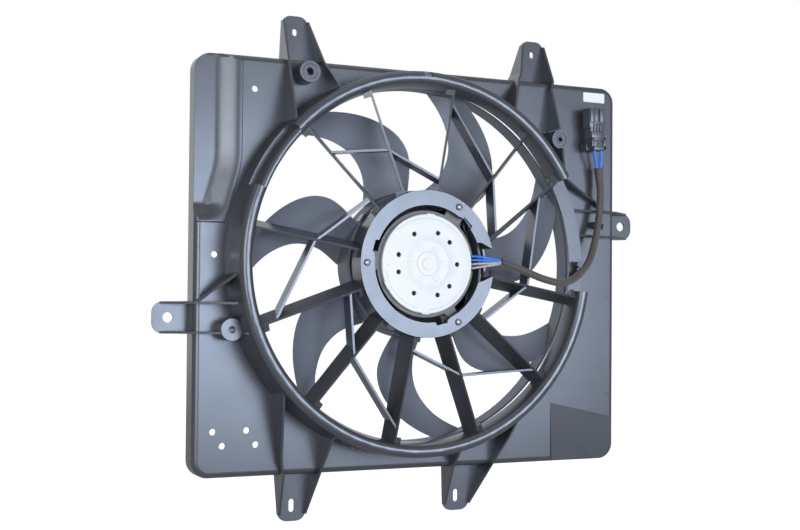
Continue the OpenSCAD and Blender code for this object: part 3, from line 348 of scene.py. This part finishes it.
def finish_of(slot):
    """The material for one of the record's material slots, made once."""
    if slot not in MADE:
        tones = colours()
        makers = {
            "shroud_plastic": lambda: moulded_plastic("shroud_plastic", tones.shroud, 0.30),
            "dark_fittings": lambda: moulded_plastic("dark_fittings", shade(tones.shroud, 0.85), 0.44),
            "plug_plastic": lambda: moulded_plastic("plug_plastic", tones.plug, 0.40, 0.03 * MM),
            # The fan's colour holds painted sheen as well as the plastic's own tone
            "fan_plastic": lambda: moulded_plastic("fan_plastic", tones.fan, 0.58, 0.03 * MM),
            "zinc_plate": lambda: zinc_plate("zinc_plate", tones.zinc, 0.60, 0.30),
            # The can and flange take the zinc's tone at 0.17: painted shade for the dark ring round the end
            # plate, not a darker metal
            "motor_steel": lambda: zinc_plate("motor_steel", shade(tones.zinc, 0.17), 0.50, 0.5, 0.2),
            "hardware_steel": lambda: plain_metal("hardware_steel", shade(tones.steel, 0.55), 0.36),
            "lead_jackets": lambda: lead_jacket("lead_jackets", tones.blue_lead),
            "grey_jackets": lambda: lead_jacket("grey_jackets", tones.grey_lead),
            "lead_sleeve": lambda: woven_sleeve("lead_sleeve", tones.sleeve, 120, 10),
            "copper": lambda: plain_metal("copper", (0.72, 0.38, 0.22), 0.35),
            "brass": lambda: plain_metal("brass", (0.76, 0.58, 0.28), 0.33),
            "rubber": lambda: soft_rubber("rubber", (0.018, 0.018, 0.018)),
            "motor_magnets": lambda: sintered("motor_magnets", (0.07, 0.07, 0.075)),
            "armature_core": lambda: plain_metal("armature_core", (0.36, 0.37, 0.39), 0.5),
            "brush_card": lambda: sintered("brush_card", (0.20, 0.13, 0.06), 0.6),
            "brushes": lambda: sintered("brushes", (0.03, 0.03, 0.03), 0.55),
            "label": lambda: paper_label("label", tones.label),
        }
        MADE[slot] = makers[slot]()
    return MADE[slot]


# Pieces

def dress(node):
    """Gives a CAD node the finish of its slot in the record."""
    slot = next(s["material_slot"] for s in frame["record"]["subparts"] if s["node"] == node)
    mesh = NODES[node].data
    mesh.materials.clear()
    mesh.materials.append(finish_of(slot))


def soften(node, radius):
    """Rounds a CAD node's sharp edges with modifiers and leaves its mesh as it is."""
    weld_gap = 0.002 * MM
    flat_angle = 0.6
    sharp_angle = 38
    piece = NODES[node]
    weld = piece.modifiers.new("weld", "WELD")
    weld.merge_threshold = weld_gap
    flat = piece.modifiers.new("flat", "DECIMATE")
    flat.decimate_type = "DISSOLVE"
    flat.angle_limit = math.radians(flat_angle)
    edges = piece.modifiers.new("edges", "BEVEL")
    edges.width = radius
    edges.segments = 2
    edges.limit_method = "ANGLE"
    edges.angle_limit = math.radians(sharp_angle)
    edges.miter_outer = "MITER_ARC"
    edges.use_clamp_overlap = True
    normals = piece.modifiers.new("normals", "WEIGHTED_NORMAL")
    normals.keep_sharp = True


def add_piece(name, mesh, slot, body, replaced=(), smooth_angle=40):
    """Adds a finished mesh that rides on a body and may stand for CAD nodes."""
    piece = bpy.data.objects.new(name, mesh)
    bpy.context.scene.collection.objects.link(piece)
    mesh.materials.clear()
    mesh.materials.append(finish_of(slot))
    mesh.shade_smooth()
    mesh.set_sharp_from_angle(angle=math.radians(smooth_angle))
    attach(piece, body)
    if replaced:
        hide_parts(*replaced)
    return piece


def mesh_from(bm, name):
    """The finished mesh of a bmesh, with its faces turned outwards."""
    bmesh.ops.recalc_face_normals(bm, faces=bm.faces)
    mesh = bpy.data.meshes.new(name)
    bm.to_mesh(mesh)
    bm.free()
    return mesh


def add_drawn(name, bm, slot, body, replaced=(), smooth_angle=40):
    """Adds a piece that was drawn in mm in the front frame."""
    to_front(bm)
    return add_piece(name, mesh_from(bm, name), slot, body, replaced, smooth_angle)


def skin(bm, rings, closed=False):
    """Joins rings of points, given in mm in the front frame, into a skin; closed rings join end to end."""
    made = [[bm.verts.new(point) for point in ring] for ring in rings]
    for low, high in zip(made, made[1:]):
        around = list(zip(low, low[1:] + low[:1], high[1:] + high[:1], high))
        for corners in around if closed else around[:-1]:
            bm.faces.new(corners)
    return made


def capped(bm, rings, closed=True):
    """A skin of rings with a face at each end."""
    made = skin(bm, rings, closed)
    bm.faces.new(made[0][::-1] if closed else made[0])
    bm.faces.new(made[-1] if closed else made[-1][::-1])


def round_edges(bm, edges, radius, segments):
    """Rounds edges and returns the new corners."""
    return bmesh.ops.bevel(bm, geom=edges, offset=radius, offset_type="OFFSET", segments=segments,
                           profile=0.5, affect="EDGES", material=-1)["verts"]


def block(bm, low, high, edge, segments=2):
    """A block between two corners given in mm, with its edges rounded; returns its corners."""
    made = bmesh.ops.create_cube(bm, size=1)["verts"]
    bmesh.ops.scale(bm, verts=made, vec=[b - a for a, b in zip(low, high)])
    bmesh.ops.translate(bm, verts=made, vec=[(a + b) / 2 for a, b in zip(low, high)])
    return round_edges(bm, list({e for v in made for e in v.link_edges}), edge, segments)


def bead(bm, path, width, height, base):
    """A pressed bead with a round section, along a path of (x, y) points on a face at height base."""
    section = [(-1.0, -0.2), (-0.8, 0.35), (-0.4, 0.85), (0.0, 1.0), (0.4, 0.85), (0.8, 0.35), (1.0, -0.2)]
    rings = []
    for i, (x, y) in enumerate(path):
        back = path[max(i - 1, 0)]
        ahead = path[min(i + 1, len(path) - 1)]
        along = Vector((ahead[0] - back[0], ahead[1] - back[1])).normalized()
        rings.append([(x - along.y * u * width / 2, y + along.x * u * width / 2, base + v * height)
                      for u, v in section])
    capped(bm, rings, False)


def polar(radius, angle):
    """A point on a circle round the fan's axis, at an angle in degrees."""
    return radius * math.cos(math.radians(angle)), radius * math.sin(math.radians(angle))


def smooth_copy(node, name, slot, body):
    """A CAD node's faceted skin, merged into quads and smoothed as a subdivision surface."""
    crease_angle = 35
    crease_weight = 0.85
    bm = bmesh.new()
    bm.from_mesh(NODES[node].data)
    bmesh.ops.remove_doubles(bm, verts=bm.verts, dist=0.001 * MM)
    bmesh.ops.join_triangles(bm, faces=bm.faces, angle_face_threshold=math.radians(40),
                             angle_shape_threshold=math.radians(80))
    crease = bm.edges.layers.float.new("crease_edge")
    for edge in bm.edges:
        if len(edge.link_faces) == 2 and edge.calc_face_angle() > math.radians(crease_angle):
            edge[crease] = crease_weight
    piece = add_piece(name, mesh_from(bm, name), slot, body, (node,))
    surface = piece.modifiers.new("surface", "SUBSURF")
    surface.levels = surface.render_levels = 2


def tube_along(name, routes, diameter, slot, body, replaced, rings, flare=()):
    """Round tubes along smooth curves through route points given in the front frame, in mm.
    A flare widens the first points by the factors given."""
    curve = bpy.data.curves.new(name, "CURVE")
    curve.dimensions = "3D"
    curve.bevel_depth = diameter / 2
    curve.bevel_resolution = 4
    curve.resolution_u = rings
    curve.use_fill_caps = True
    for route in routes:
        spline = curve.splines.new("BEZIER")
        spline.bezier_points.add(len(route) - 1)
        for point, place in zip(spline.bezier_points, route):
            point.co = front(*place)
            point.handle_left_type = point.handle_right_type = "AUTO"
        for point, factor in zip(spline.bezier_points, flare):
            point.radius = factor
    holder = bpy.data.objects.new(name + "_curve", curve)
    bpy.context.scene.collection.objects.link(holder)
    seen = holder.evaluated_get(bpy.context.evaluated_depsgraph_get())
    mesh = bpy.data.meshes.new_from_object(seen)
    bpy.data.objects.remove(holder)
    bpy.data.curves.remove(curve)
    add_piece(name, mesh, slot, body, replaced)


class ShroudOperator(bpy.types.Operator):
    """Finish the moulded shroud: panel, ring, arms, carrier, tabs and bosses"""

    bl_idname = "fan.shroud"
    bl_label = "Shroud"

    # The sunk pocket at the upper left, in mm in the front frame
    edge_x = -196.0
    bend_y = 106.0
    bend_reach = 12.0
    end = (-214.0, 41.0)
    left = -246.0
    top = 221.0
    corner = 18.0
    edge_r = 6.5
    depth = 8.0
    across = 29.0
    along = 21.0

    def execute(self, context):
        for node in ("shroud_panel", "shroud_ring", "support_arms", "motor_carrier", "mounting_tabs",
                     "screw_bosses"):
            dress(node)
            soften(node, sizes().edge_round)
        self.pocket()
        return {"FINISHED"}

    def pocket_edge(self, y):
        """Where the pocket's flank starts, at height y up the panel, with a soft bend."""
        reach = self.bend_reach
        below = self.bend_y - y
        if below <= -reach:
            below = 0.0
        elif below <= reach:
            below = (below + reach) ** 2 / (4 * reach)
        return self.edge_x + (self.end[0] - self.edge_x) * below / (self.bend_y - self.end[1])

    def pocket_height(self, x, y):
        """The soft pocket's surface: it leaves the panel and meets the floor without a bend."""
        lift = 0.04

        def rise(t):
            t = min(1.0, max(0.0, t))
            return t * t * (3 - 2 * t)

        flank = rise((self.pocket_edge(y) - x) / self.across)
        foot = rise((y - self.end[1]) / self.along)
        sunk = self.depth * flank * foot
        over = max(0.0, y - (self.top - self.edge_r), self.left + self.edge_r - x)
        over = min(over, self.edge_r)
        return min(-sunk, math.sqrt(self.edge_r ** 2 - over ** 2) - self.edge_r) + lift

    def pocket(self):
        """Lays the soft skin of the sunk pocket over the panel's bends."""
        overlap = 0.8
        low = self.end[1] - overlap
        rows = 90
        columns = 56
        turn_x = self.left + self.corner
        turn_y = self.top - self.corner
        rings = []
        for i in range(rows + 1):
            y = low + (self.top - low) * i / rows
            start = self.pocket_edge(y) + overlap
            reach = self.left
            if y > turn_y:
                reach = turn_x - math.sqrt(max(0.0, self.corner ** 2 - (y - turn_y) ** 2))
            ring = []
            for k in range(columns + 1):
                x = start + (reach - start) * k / columns
                ring.append((x, y, self.pocket_height(x, y)))
            rings.append(ring)
        bm = bmesh.new()
        skin(bm, rings)
        piece = add_drawn("shroud_pocket_skin", bm, "shroud_plastic", "shroud", (), 60)
        thick = piece.modifiers.new("thick", "SOLIDIFY")
        thick.thickness = 0.05 * MM
        thick.offset = -1.0


class BladesOperator(bpy.types.Operator):
    """Lay a smooth skin over the lofted blades"""

    bl_idname = "fan.blades"
    bl_label = "Blades"

    def execute(self, context):
        smooth_copy("fan_blades", "fan_blades_skin", "fan_plastic", "fan")
        return {"FINISHED"}


class HubOperator(bpy.types.Operator):
    """Finish the fan's hub and band and the metal pieces that turn with them"""

    bl_idname = "fan.hub"
    bl_label = "Hub and band"

    def execute(self, context):
        for node in ("fan_hub", "fan_band"):
            dress(node)
            soften(node, sizes().edge_round)
        for node in ("hub_insert", "balance_clip", "shaft_clip", "motor_shaft"):
            dress(node)
            soften(node, sizes().metal_round)
        return {"FINISHED"}


class MotorOperator(bpy.types.Operator):
    """Finish the can and its flange, and model the pressed end plate"""

    bl_idname = "fan.motor"
    bl_label = "Motor"

    # The end plate, in mm in the front frame, and angles in degrees
    plate_h = 52.0
    skirt_h = 47.15
    rim_r = 54.4
    rim_step = 0.55
    stamped_arcs = ((32, 134), (189, 256), (273, 388))
    vent_circle = 36.0
    vent_r = 2.75
    vent_turns = (0, 42, -42, 70, -70, 117, -117, 165, -165)
    stake_circle = 18.8
    tick_circle = 47.2
    tick_turns = (60, -57, 152, 181)
    crimp_turns = (86, 206, -92)
    crimp_low = (rim_r - 2.8, -4.75, plate_h - 4.1)
    crimp_high = (rim_r + 0.8, 4.75, plate_h - 0.1)

    def execute(self, context):
        for node in ("motor_can", "motor_flange"):
            dress(node)
            soften(node, sizes().metal_round)
        dress("motor_grommet")
        bm = bmesh.new()
        self.disc(bm)
        plate = add_drawn("end_plate_pressed", bm, "zinc_plate", "shroud", ("motor_end_plate",), 30)
        cut = plate.modifiers.new("vents", "BOOLEAN")
        cut.operation = "DIFFERENCE"
        cut.solver = "EXACT"
        cut.object = self.vent_cutter(plate)
        bm = bmesh.new()
        self.stakes(bm)
        self.ticks(bm)
        self.crimps(bm)
        add_drawn("end_plate_marks", bm, "zinc_plate", "shroud")
        return {"FINISHED"}

    def rim_drop(self, turn):
        """How far the rim lies below the plate's face at an angle: the step runs in three arcs."""
        drop = 0.0
        for start, end in self.stamped_arcs:
            for shift in (0, -360):
                inside = min(turn - start - shift, end + shift - turn)
                drop = max(drop, min(1.0, max(0.0, inside / 1.2 + 0.5)))
        return self.rim_step * drop

    def disc(self, bm):
        """The plate from its middle out over the rim, down the skirt and back underneath.
        Each row gives a radius, a height above the plate and the share of the rim's step."""
        rim_r = self.rim_r
        skirt = self.skirt_h - self.plate_h
        rows = ((0.01, 0.54, 0), (4.9, 0.54, 0), (5.8, 0.60, 0), (6.4, 0.83, 0), (7.1, 1.08, 0),
                (8.6, 1.14, 0), (12.0, 1.10, 0), (12.6, 1.0, 0), (12.9, 0.7, 0), (13.0, 0.1, 0),
                (13.3, 0.0, 0), (24.6, 0.0, 0), (24.9, 0.12, 0), (25.6, 0.12, 0), (25.9, 0.0, 0),
                (40.0, 0.0, 0), (49.6, 0.0, 0), (49.9, 0.0, 0.12), (50.3, 0.0, 0.88), (50.6, 0.0, 1),
                (52.0, 0.0, 1), (rim_r - 1.5, 0.0, 1), (rim_r - 0.7, -0.2, 0.8), (rim_r - 0.2, -0.7, 0.4),
                (rim_r, -1.5, 0), (rim_r, skirt, 0), (52.6, skirt, 0), (52.6, -1.9, 0), (0.01, -1.9, 0))
        segments = 240
        rings = []
        for radius, height, share in rows:
            ring = []
            for k in range(segments):
                turn = 360 * k / segments
                x, y = polar(radius, turn)
                ring.append((x, y, self.plate_h + height - share * self.rim_drop(turn)))
            rings.append(ring)
        capped(bm, rings)

    def vent_cutter(self, plate):
        """The rods that cut the nine vents; they ride on the plate and aren't rendered."""
        segments = 32
        reach = 6
        bm = bmesh.new()
        for turn in self.vent_turns:
            x, y = polar(self.vent_circle, turn)
            rings = []
            for height in (self.plate_h - reach, self.plate_h + reach):
                ring = []
                for k in range(segments):
                    angle = math.tau * k / segments
                    across = self.vent_r * math.cos(angle)
                    along = self.vent_r * math.sin(angle)
                    ring.append((x + across, y + along, height))
                rings.append(ring)
            capped(bm, rings)
        to_front(bm)
        cutter = bpy.data.objects.new("vent_cutter", mesh_from(bm, "vent_cutter"))
        bpy.context.scene.collection.objects.link(cutter)
        cutter.hide_render = True
        cutter.parent = plate
        cutter.matrix_parent_inverse = plate.matrix_world.inverted()
        return cutter

    def stakes(self, bm):
        """Six rectangular stake marks round the boss, each a raised frame."""
        corners = [(-2.3, -3.1), (2.3, -3.1), (2.3, 3.1), (-2.3, 3.1)]
        for turn in range(0, 360, 60):
            middle = Vector(polar(self.stake_circle, turn))
            across = Vector(polar(1, turn))
            along = Vector((-across.y, across.x))
            places = [middle + across * x + along * y for x, y in corners]
            for here, there in zip(places, places[1:] + places[:1]):
                bead(bm, [tuple(here), tuple(there)], 0.7, 0.32, self.plate_h)

    def ticks(self, bm):
        """Four small check marks beside the rim's step."""
        for turn in self.tick_turns:
            x, y = polar(self.tick_circle, turn)
            for lean in (-38, 38):
                dx, dy = polar(1.8, turn + 90 + lean)
                bead(bm, [(x - dx * 0.1, y - dy * 0.1), (x + dx, y + dy)], 0.8, 0.35, self.plate_h)

    def crimps(self, bm):
        """Three tongues of the can, folded over the plate's rim."""
        for turn in self.crimp_turns:
            corners = block(bm, self.crimp_low, self.crimp_high, 0.5, 3)
            bmesh.ops.rotate(bm, verts=corners, cent=(0, 0, 0),
                             matrix=Matrix.Rotation(math.radians(turn), 3, "Z"))


class ScrewsOperator(bpy.types.Operator):
    """Model the three motor screws with rounded heads and lobed sockets"""

    bl_idname = "fan.screws"
    bl_label = "Motor screws"

    # In mm in the front frame, and angles in degrees
    circle = 73.0
    turns = (180, 60, -60)
    seat = 55.08
    lobe = 0.26

    def execute(self, context):
        bm = bmesh.new()
        for turn in self.turns:
            self.screw(bm, *polar(self.circle, turn))
        add_drawn("motor_screws_lobed", bm, "hardware_steel", "shroud", ("motor_screws",))
        return {"FINISHED"}

    def screw(self, bm, x, y):
        """One screw: a round head with a six-lobed socket, and its shank.
        Each row gives a radius, a height above the seat and the share of the lobes."""
        segments = 72
        rows = ((1.99, -13.8, 0), (1.99, 0.0, 0), (3.6, 0.0, 0), (3.7, 0.25, 0), (3.65, 0.9, 0),
                (3.4, 1.55, 0), (3.0, 2.0, 0), (2.3, 2.3, 0.3), (2.05, 2.3, 1), (1.95, 2.15, 1),
                (1.9, 0.6, 1), (1.2, 0.4, 0.5))
        rings = []
        for radius, height, lobes in rows:
            ring = []
            for k in range(segments):
                angle = math.tau * k / segments
                reach = radius + self.lobe * lobes * math.cos(6 * angle)
                ring.append((x + reach * math.cos(angle), y + reach * math.sin(angle), self.seat + height))
            rings.append(ring)
        capped(bm, rings)


class MotorInsideOperator(bpy.types.Operator):
    """Finish the pieces inside the motor"""

    bl_idname = "fan.motor_inside"
    bl_label = "Motor inside"

    def execute(self, context):
        for node in ("motor_magnets", "bearing_bushes", "brush_card", "brush_holders", "brushes",
                     "brush_springs", "armature_core", "armature_windings", "commutator", "thrust_washers"):
            dress(node)
        return {"FINISHED"}


# The lead's route from the plug to the motor, in mm in the front frame
SLEEVE_ROUTE = (
    (246, 121, 13), (247, 110, 13), (248, 94, 14), (247, 76, 15), (243, 52, 17), (235, 28, 21),
    (222, 8, 30), (206, -5, 38), (188, -15, 45), (170, -18, 50), (150, -15, 52), (128, -8, 52),
    (106, 0, 52), (91, 4, 53),
)

# The motor can's radius and its front, in mm
CAN_R = 52.5
CAN_FRONT = 50.0

# The middle of the plug's lower end, in mm, and how far it leans, in degrees
PLUG_FOOT = (240.0, 141.0)
PLUG_LEAN = 2.5


class WiringOperator(bpy.types.Operator):
    """Model the lead's woven sleeve and the leads at both its ends"""

    bl_idname = "fan.wiring"
    bl_label = "Lead"

    # How far each motor lead lies beside the sleeve's middle; the two middle ones lie higher
    motor_spreads = (3.2, 1.1, -1.1, -3.2)

    def execute(self, context):
        tube_along("lead_sleeve_woven", [SLEEVE_ROUTE], sizes().sleeve_d, "lead_sleeve", "shroud",
                   ("lead_sleeve",), 10, (1.4, 1.15, 1.0))
        end = SLEEVE_ROUTE[-1]
        routes = []
        for spread in self.motor_spreads:
            lift = 1.2 if abs(spread) < 2 else -0.4
            routes.append([
                (CAN_R + 3.6, 3 + spread * 2.1, CAN_FRONT - 3.5),
                (CAN_R + 12, 3.5 + spread * 1.8, CAN_FRONT + 0.5 + abs(spread) * 0.2),
                (CAN_R + 26, 3.5 + spread * 1.1, 53.2),
                (end[0] - 1, end[1] + spread * 0.62 - 0.2, end[2] + lift),
            ])
        tube_along("motor_leads_blue", routes[:2], sizes().motor_lead_d, "lead_jackets", "shroud",
                   ("motor_leads",), 8)
        tube_along("motor_leads_grey", routes[2:], sizes().motor_lead_d, "grey_jackets", "shroud", (), 8)
        start = SLEEVE_ROUTE[0]
        plug_routes = [[
            (PLUG_FOOT[0] + 2.6 + side * 4.7, PLUG_FOOT[1] + 3, 16.5),
            (PLUG_FOOT[0] + 3.1 + side * 4.6, PLUG_FOOT[1] - 6, 16.2),
            (start[0] - 0.6 + side * 3.3, start[1] + 5, 14.0),
            (start[0] + side * 2.2, start[1] - 5, 13),
        ] for side in (-1, 1)]
        tube_along("connector_leads_blue", plug_routes, sizes().plug_lead_d, "lead_jackets", "shroud",
                   ("connector_leads",), 8)
        for node in ("lead_clips", "connector_seal"):
            dress(node)
        soften("lead_clips", sizes().edge_round)
        return {"FINISHED"}


class PlugOperator(bpy.types.Operator):
    """Model the two-way plug, the latch on its front and the bracket under it"""

    bl_idname = "fan.plug"
    bl_label = "Plug"

    # Each block's two corners and the radius of its edges, in mm from the plug's foot
    housing = (
        # The body and its thicker upper half
        ((-9.4, 0, 6), (9.4, 50.5, 21.0), 1.2),
        ((-10.8, 27, 6.5), (10.6, 51, 21.6), 1.0),
        # The two guides beside the latch
        ((-10.0, 33, 20), (-3.6, 50.6, 23.6), 0.7),
        ((3.2, 33, 20), (9.8, 50.6, 23.6), 0.7),
        # The neck and the collar round the seals
        ((-8.8, 14, 18), (8.6, 23, 22.4), 0.8),
        ((-9.8, 0.3, 6.5), (9.8, 15.5, 22.2), 1.0),
        # The raised frame on the collar, with a short rib inside it
        ((-9.6, 12.6, 21), (9.6, 15.3, 24.2), 0.5),
        ((-9.6, 0.5, 21), (9.6, 5.4, 24.2), 0.5),
        ((-9.6, 0.5, 21), (-6.4, 15.3, 24.2), 0.5),
        ((6.4, 0.5, 21), (9.6, 15.3, 24.2), 0.5),
        ((-1.1, 3, 21), (1.1, 8.6, 24.2), 0.5),
        # The feet and the rail at the right side
        ((-12.0, 0.8, 6.5), (12.0, 4.2, 15.5), 0.6),
        ((8.0, 0.4, 6.5), (11.2, 30, 18.8), 0.6),
    )
    # A tongue between the guides, its cross bar and three legs
    latch = (
        ((-3.0, 34, 21), (2.6, 49.5, 22.4), 0.6),
        ((-5.8, 31.6, 21), (5.6, 34.4, 23.4), 0.6),
        ((-5.5, 23.2, 20), (-3.7, 32.6, 22.8), 0.4),
        ((-1.1, 23.2, 20), (0.7, 32.6, 22.8), 0.4),
        ((3.3, 23.2, 20), (5.1, 32.6, 22.8), 0.4),
    )
    # A rail on the panel under the plug, and a lug beside the collar
    bracket = (
        ((-6.5, 3, 0.02), (6.5, 46, 5.97), 0.8),
        ((-12.6, 1.0, 0.02), (-10.2, 9.5, 15.0), 0.6),
        ((-12.6, 1.0, 0.02), (-6.4, 9.5, 3.0), 0.6),
    )

    def execute(self, context):
        self.piece("plug_housing", self.housing, "plug_plastic", "connector_housing")
        self.piece("plug_latch", self.latch, "plug_plastic", "connector_latch")
        self.piece("plug_bracket", self.bracket, "dark_fittings", "connector_bracket")
        dress("connector_terminals")
        return {"FINISHED"}

    def piece(self, name, blocks, slot, node):
        """Draws a piece's blocks from the plug's foot, leans them and sets them on the panel."""
        bm = bmesh.new()
        for low, high, edge in blocks:
            block(bm, low, high, edge)
        lean = Matrix.Rotation(math.radians(PLUG_LEAN), 3, "Z")
        bmesh.ops.rotate(bm, verts=bm.verts, cent=(0, 0, 0), matrix=lean)
        bmesh.ops.translate(bm, verts=bm.verts, vec=(*PLUG_FOOT, 0))
        add_drawn(name, bm, slot, "shroud", (node,))


class LabelOperator(bpy.types.Operator):
    """Lay the blank label on the panel"""

    bl_idname = "fan.label"
    bl_label = "Label"

    def execute(self, context):
        left = 232.5
        low = 202.0
        thick = 0.25
        corner = 1.2
        lift = 0.02
        width = sizes().label_w / MM
        height = sizes().label_h / MM
        bm = bmesh.new()
        bmesh.ops.create_cube(bm, size=1)
        bmesh.ops.scale(bm, verts=bm.verts, vec=(width, height, thick))
        bmesh.ops.translate(bm, verts=bm.verts, vec=(left + width / 2, low + height / 2, thick / 2 + lift))
        upright = [e for e in bm.edges if abs(e.verts[0].co.z - e.verts[1].co.z) > thick / 2]
        round_edges(bm, upright, corner, 4)
        add_drawn("label_blank", bm, "label", "shroud")
        return {"FINISHED"}


class StageOperator(bpy.types.Operator):
    """Set up the camera, the lamps, the pale floor and the white surroundings"""

    bl_idname = "fan.stage"
    bl_label = "Stage"

    # Name, place and size in metres, power in watts, and colour
    lamps = (
        ("key_softbox", (0.60, -1.87, -0.12), (1.3, 1.0), 34, (0.80, 0.88, 1.0)),
        ("left_front_softbox", (-1.15, -1.6, 0.0), (0.9, 1.2), 20, (0.97, 1.0, 1.0)),
        ("left_softbox", (-2.3, -0.7, 0.6), (0.8, 1.4), 1, (1.0, 0.97, 0.94)),
        ("top_softbox", (0.2, -0.3, 2.0), (1.6, 0.8), 3, (1.0, 1.0, 1.0)),
        ("back_softbox", (0.0, 2.6, 0.9), (4.5, 3.4), 34, (0.95, 0.97, 1.0)),
    )

    def execute(self, context):
        scene = context.scene
        scene.view_settings.view_transform = "Standard"
        self.camera(scene)
        self.floor(scene)
        self.surroundings(scene)
        for lamp in self.lamps:
            self.lamp(scene, *lamp)
        return {"FINISHED"}

    def camera(self, scene):
        """The camera that sees the object as the picture does; it looks level from the front left."""
        picture_w = 800
        picture_h = 530
        focal = 1276.1
        middle = (405.7, 272.2)
        data = bpy.data.cameras.new("camera")
        data.sensor_width = 36
        data.lens = focal / picture_w * data.sensor_width
        data.shift_x = (picture_w / 2 - middle[0]) / picture_w
        data.shift_y = (middle[1] - picture_h / 2) / picture_w
        camera = bpy.data.objects.new("camera", data)
        right = Vector((0.90624, -0.42270, 0.00797))
        up = Vector((-0.01768, -0.01906, 0.99966))
        ahead = Vector((0.42240, 0.90607, 0.02475))
        turn = Matrix((right, up, -ahead)).transposed().to_4x4()
        camera.matrix_world = Matrix.Translation(Vector((-609.2, -1302.0, -43.7)) * MM) @ turn
        scene.collection.objects.link(camera)
        scene.camera = camera

    def lamp(self, scene, name, place, size, power, colour):
        """A rectangular lamp that shines at the origin and that the camera doesn't see."""
        data = bpy.data.lights.new(name, "AREA")
        data.shape = "RECTANGLE"
        data.size, data.size_y = size
        data.energy = power
        data.color = colour
        lamp = bpy.data.objects.new(name, data)
        lamp.location = place
        lamp.visible_camera = False
        lamp.rotation_euler = (-Vector(place)).to_track_quat("-Z", "Y").to_euler()
        scene.collection.objects.link(lamp)

    def floor(self, scene):
        """A pale floor just under the object: it glows for the camera and keeps the object's shadow."""
        half = 6
        gap = 0.6 * MM
        glow_strength = 1.84
        glow_share = 0.5
        bm = bmesh.new()
        bmesh.ops.create_grid(bm, x_segments=1, y_segments=1, size=half)
        bmesh.ops.translate(bm, verts=bm.verts, vec=(0, 0, CAD_BOX[0].z - gap))
        mesh = bpy.data.meshes.new("floor")
        bm.to_mesh(mesh)
        bm.free()
        floor = bpy.data.objects.new("floor", mesh)
        scene.collection.objects.link(floor)
        finish = Finish("floor", {"Base Color": (0.9, 0.9, 0.9, 1), "Roughness": 0.8})
        seen = finish.node("ShaderNodeLightPath", {}, {}, "Is Camera Ray")
        glow = finish.node("ShaderNodeEmission", {}, {"Color": (1, 1, 1, 1), "Strength": glow_strength})
        whole = finish.node("ShaderNodeMixShader", {}, {
            0: seen * glow_share, 1: Link(finish, finish.shader.outputs[0]), 2: glow})
        output = finish.tree.nodes["Material Output"]
        finish.tree.links.new(whole.socket, output.inputs["Surface"])
        mesh.materials.append(finish.material)

    def surroundings(self, scene):
        """White for the camera, dim as a light, and brighter in what mirrors or lets light through."""
        mirrored = 0.25
        dim = 0.20
        world = bpy.data.worlds.new("surroundings")
        world.use_nodes = True
        tree = world.node_tree
        background = tree.nodes["Background"]
        background.inputs["Color"].default_value = (1, 1, 1, 1)
        paths = tree.nodes.new("ShaderNodeLightPath")
        seen = paths.outputs["Is Camera Ray"]
        for ray in ("Is Glossy Ray", "Is Transmission Ray"):
            share = tree.nodes.new("ShaderNodeMath")
            share.operation = "MULTIPLY_ADD"
            share.inputs[1].default_value = mirrored
            tree.links.new(paths.outputs[ray], share.inputs[0])
            tree.links.new(seen, share.inputs[2])
            seen = share.outputs[0]
        strength = tree.nodes.new("ShaderNodeMapRange")
        strength.inputs["To Min"].default_value = dim
        strength.inputs["To Max"].default_value = 1.0
        tree.links.new(seen, strength.inputs["Value"])
        tree.links.new(strength.outputs["Result"], background.inputs["Strength"])
        scene.world = world


OPERATORS = (StageOperator, ShroudOperator, BladesOperator, HubOperator, MotorOperator,
             ScrewsOperator, MotorInsideOperator, WiringOperator, PlugOperator, LabelOperator)


class FanPanel(bpy.types.Panel):
    """Lists the operators, the sizes and the colours"""

    bl_idname = "FAN_PT_looks"
    bl_label = "Radiator Fan"
    bl_space_type = "VIEW_3D"
    bl_region_type = "UI"
    bl_category = "Radiator Fan"

    def draw(self, context):
        for operator in OPERATORS:
            self.layout.operator(operator.bl_idname)
        for group in (context.scene.fan_sizes, context.scene.fan_colours):
            for name in group.bl_rna.properties.keys():
                if name not in ("rna_type", "name"):
                    self.layout.prop(group, name)


CLASSES = (FanSizes, FanColours, *OPERATORS, FanPanel)


def register():
    for cls in CLASSES:
        bpy.utils.register_class(cls)
    bpy.types.Scene.fan_sizes = PointerProperty(type=FanSizes)
    bpy.types.Scene.fan_colours = PointerProperty(type=FanColours)


def unregister():
    del bpy.types.Scene.fan_colours
    del bpy.types.Scene.fan_sizes
    for cls in reversed(CLASSES):
        bpy.utils.unregister_class(cls)


def main():
    register()
    bpy.ops.fan.stage()
    bpy.ops.fan.shroud()
    bpy.ops.fan.blades()
    bpy.ops.fan.hub()
    bpy.ops.fan.motor()
    bpy.ops.fan.screws()
    bpy.ops.fan.motor_inside()
    bpy.ops.fan.wiring()
    bpy.ops.fan.plug()
    bpy.ops.fan.label()


if __name__ == "__main__":
    main()
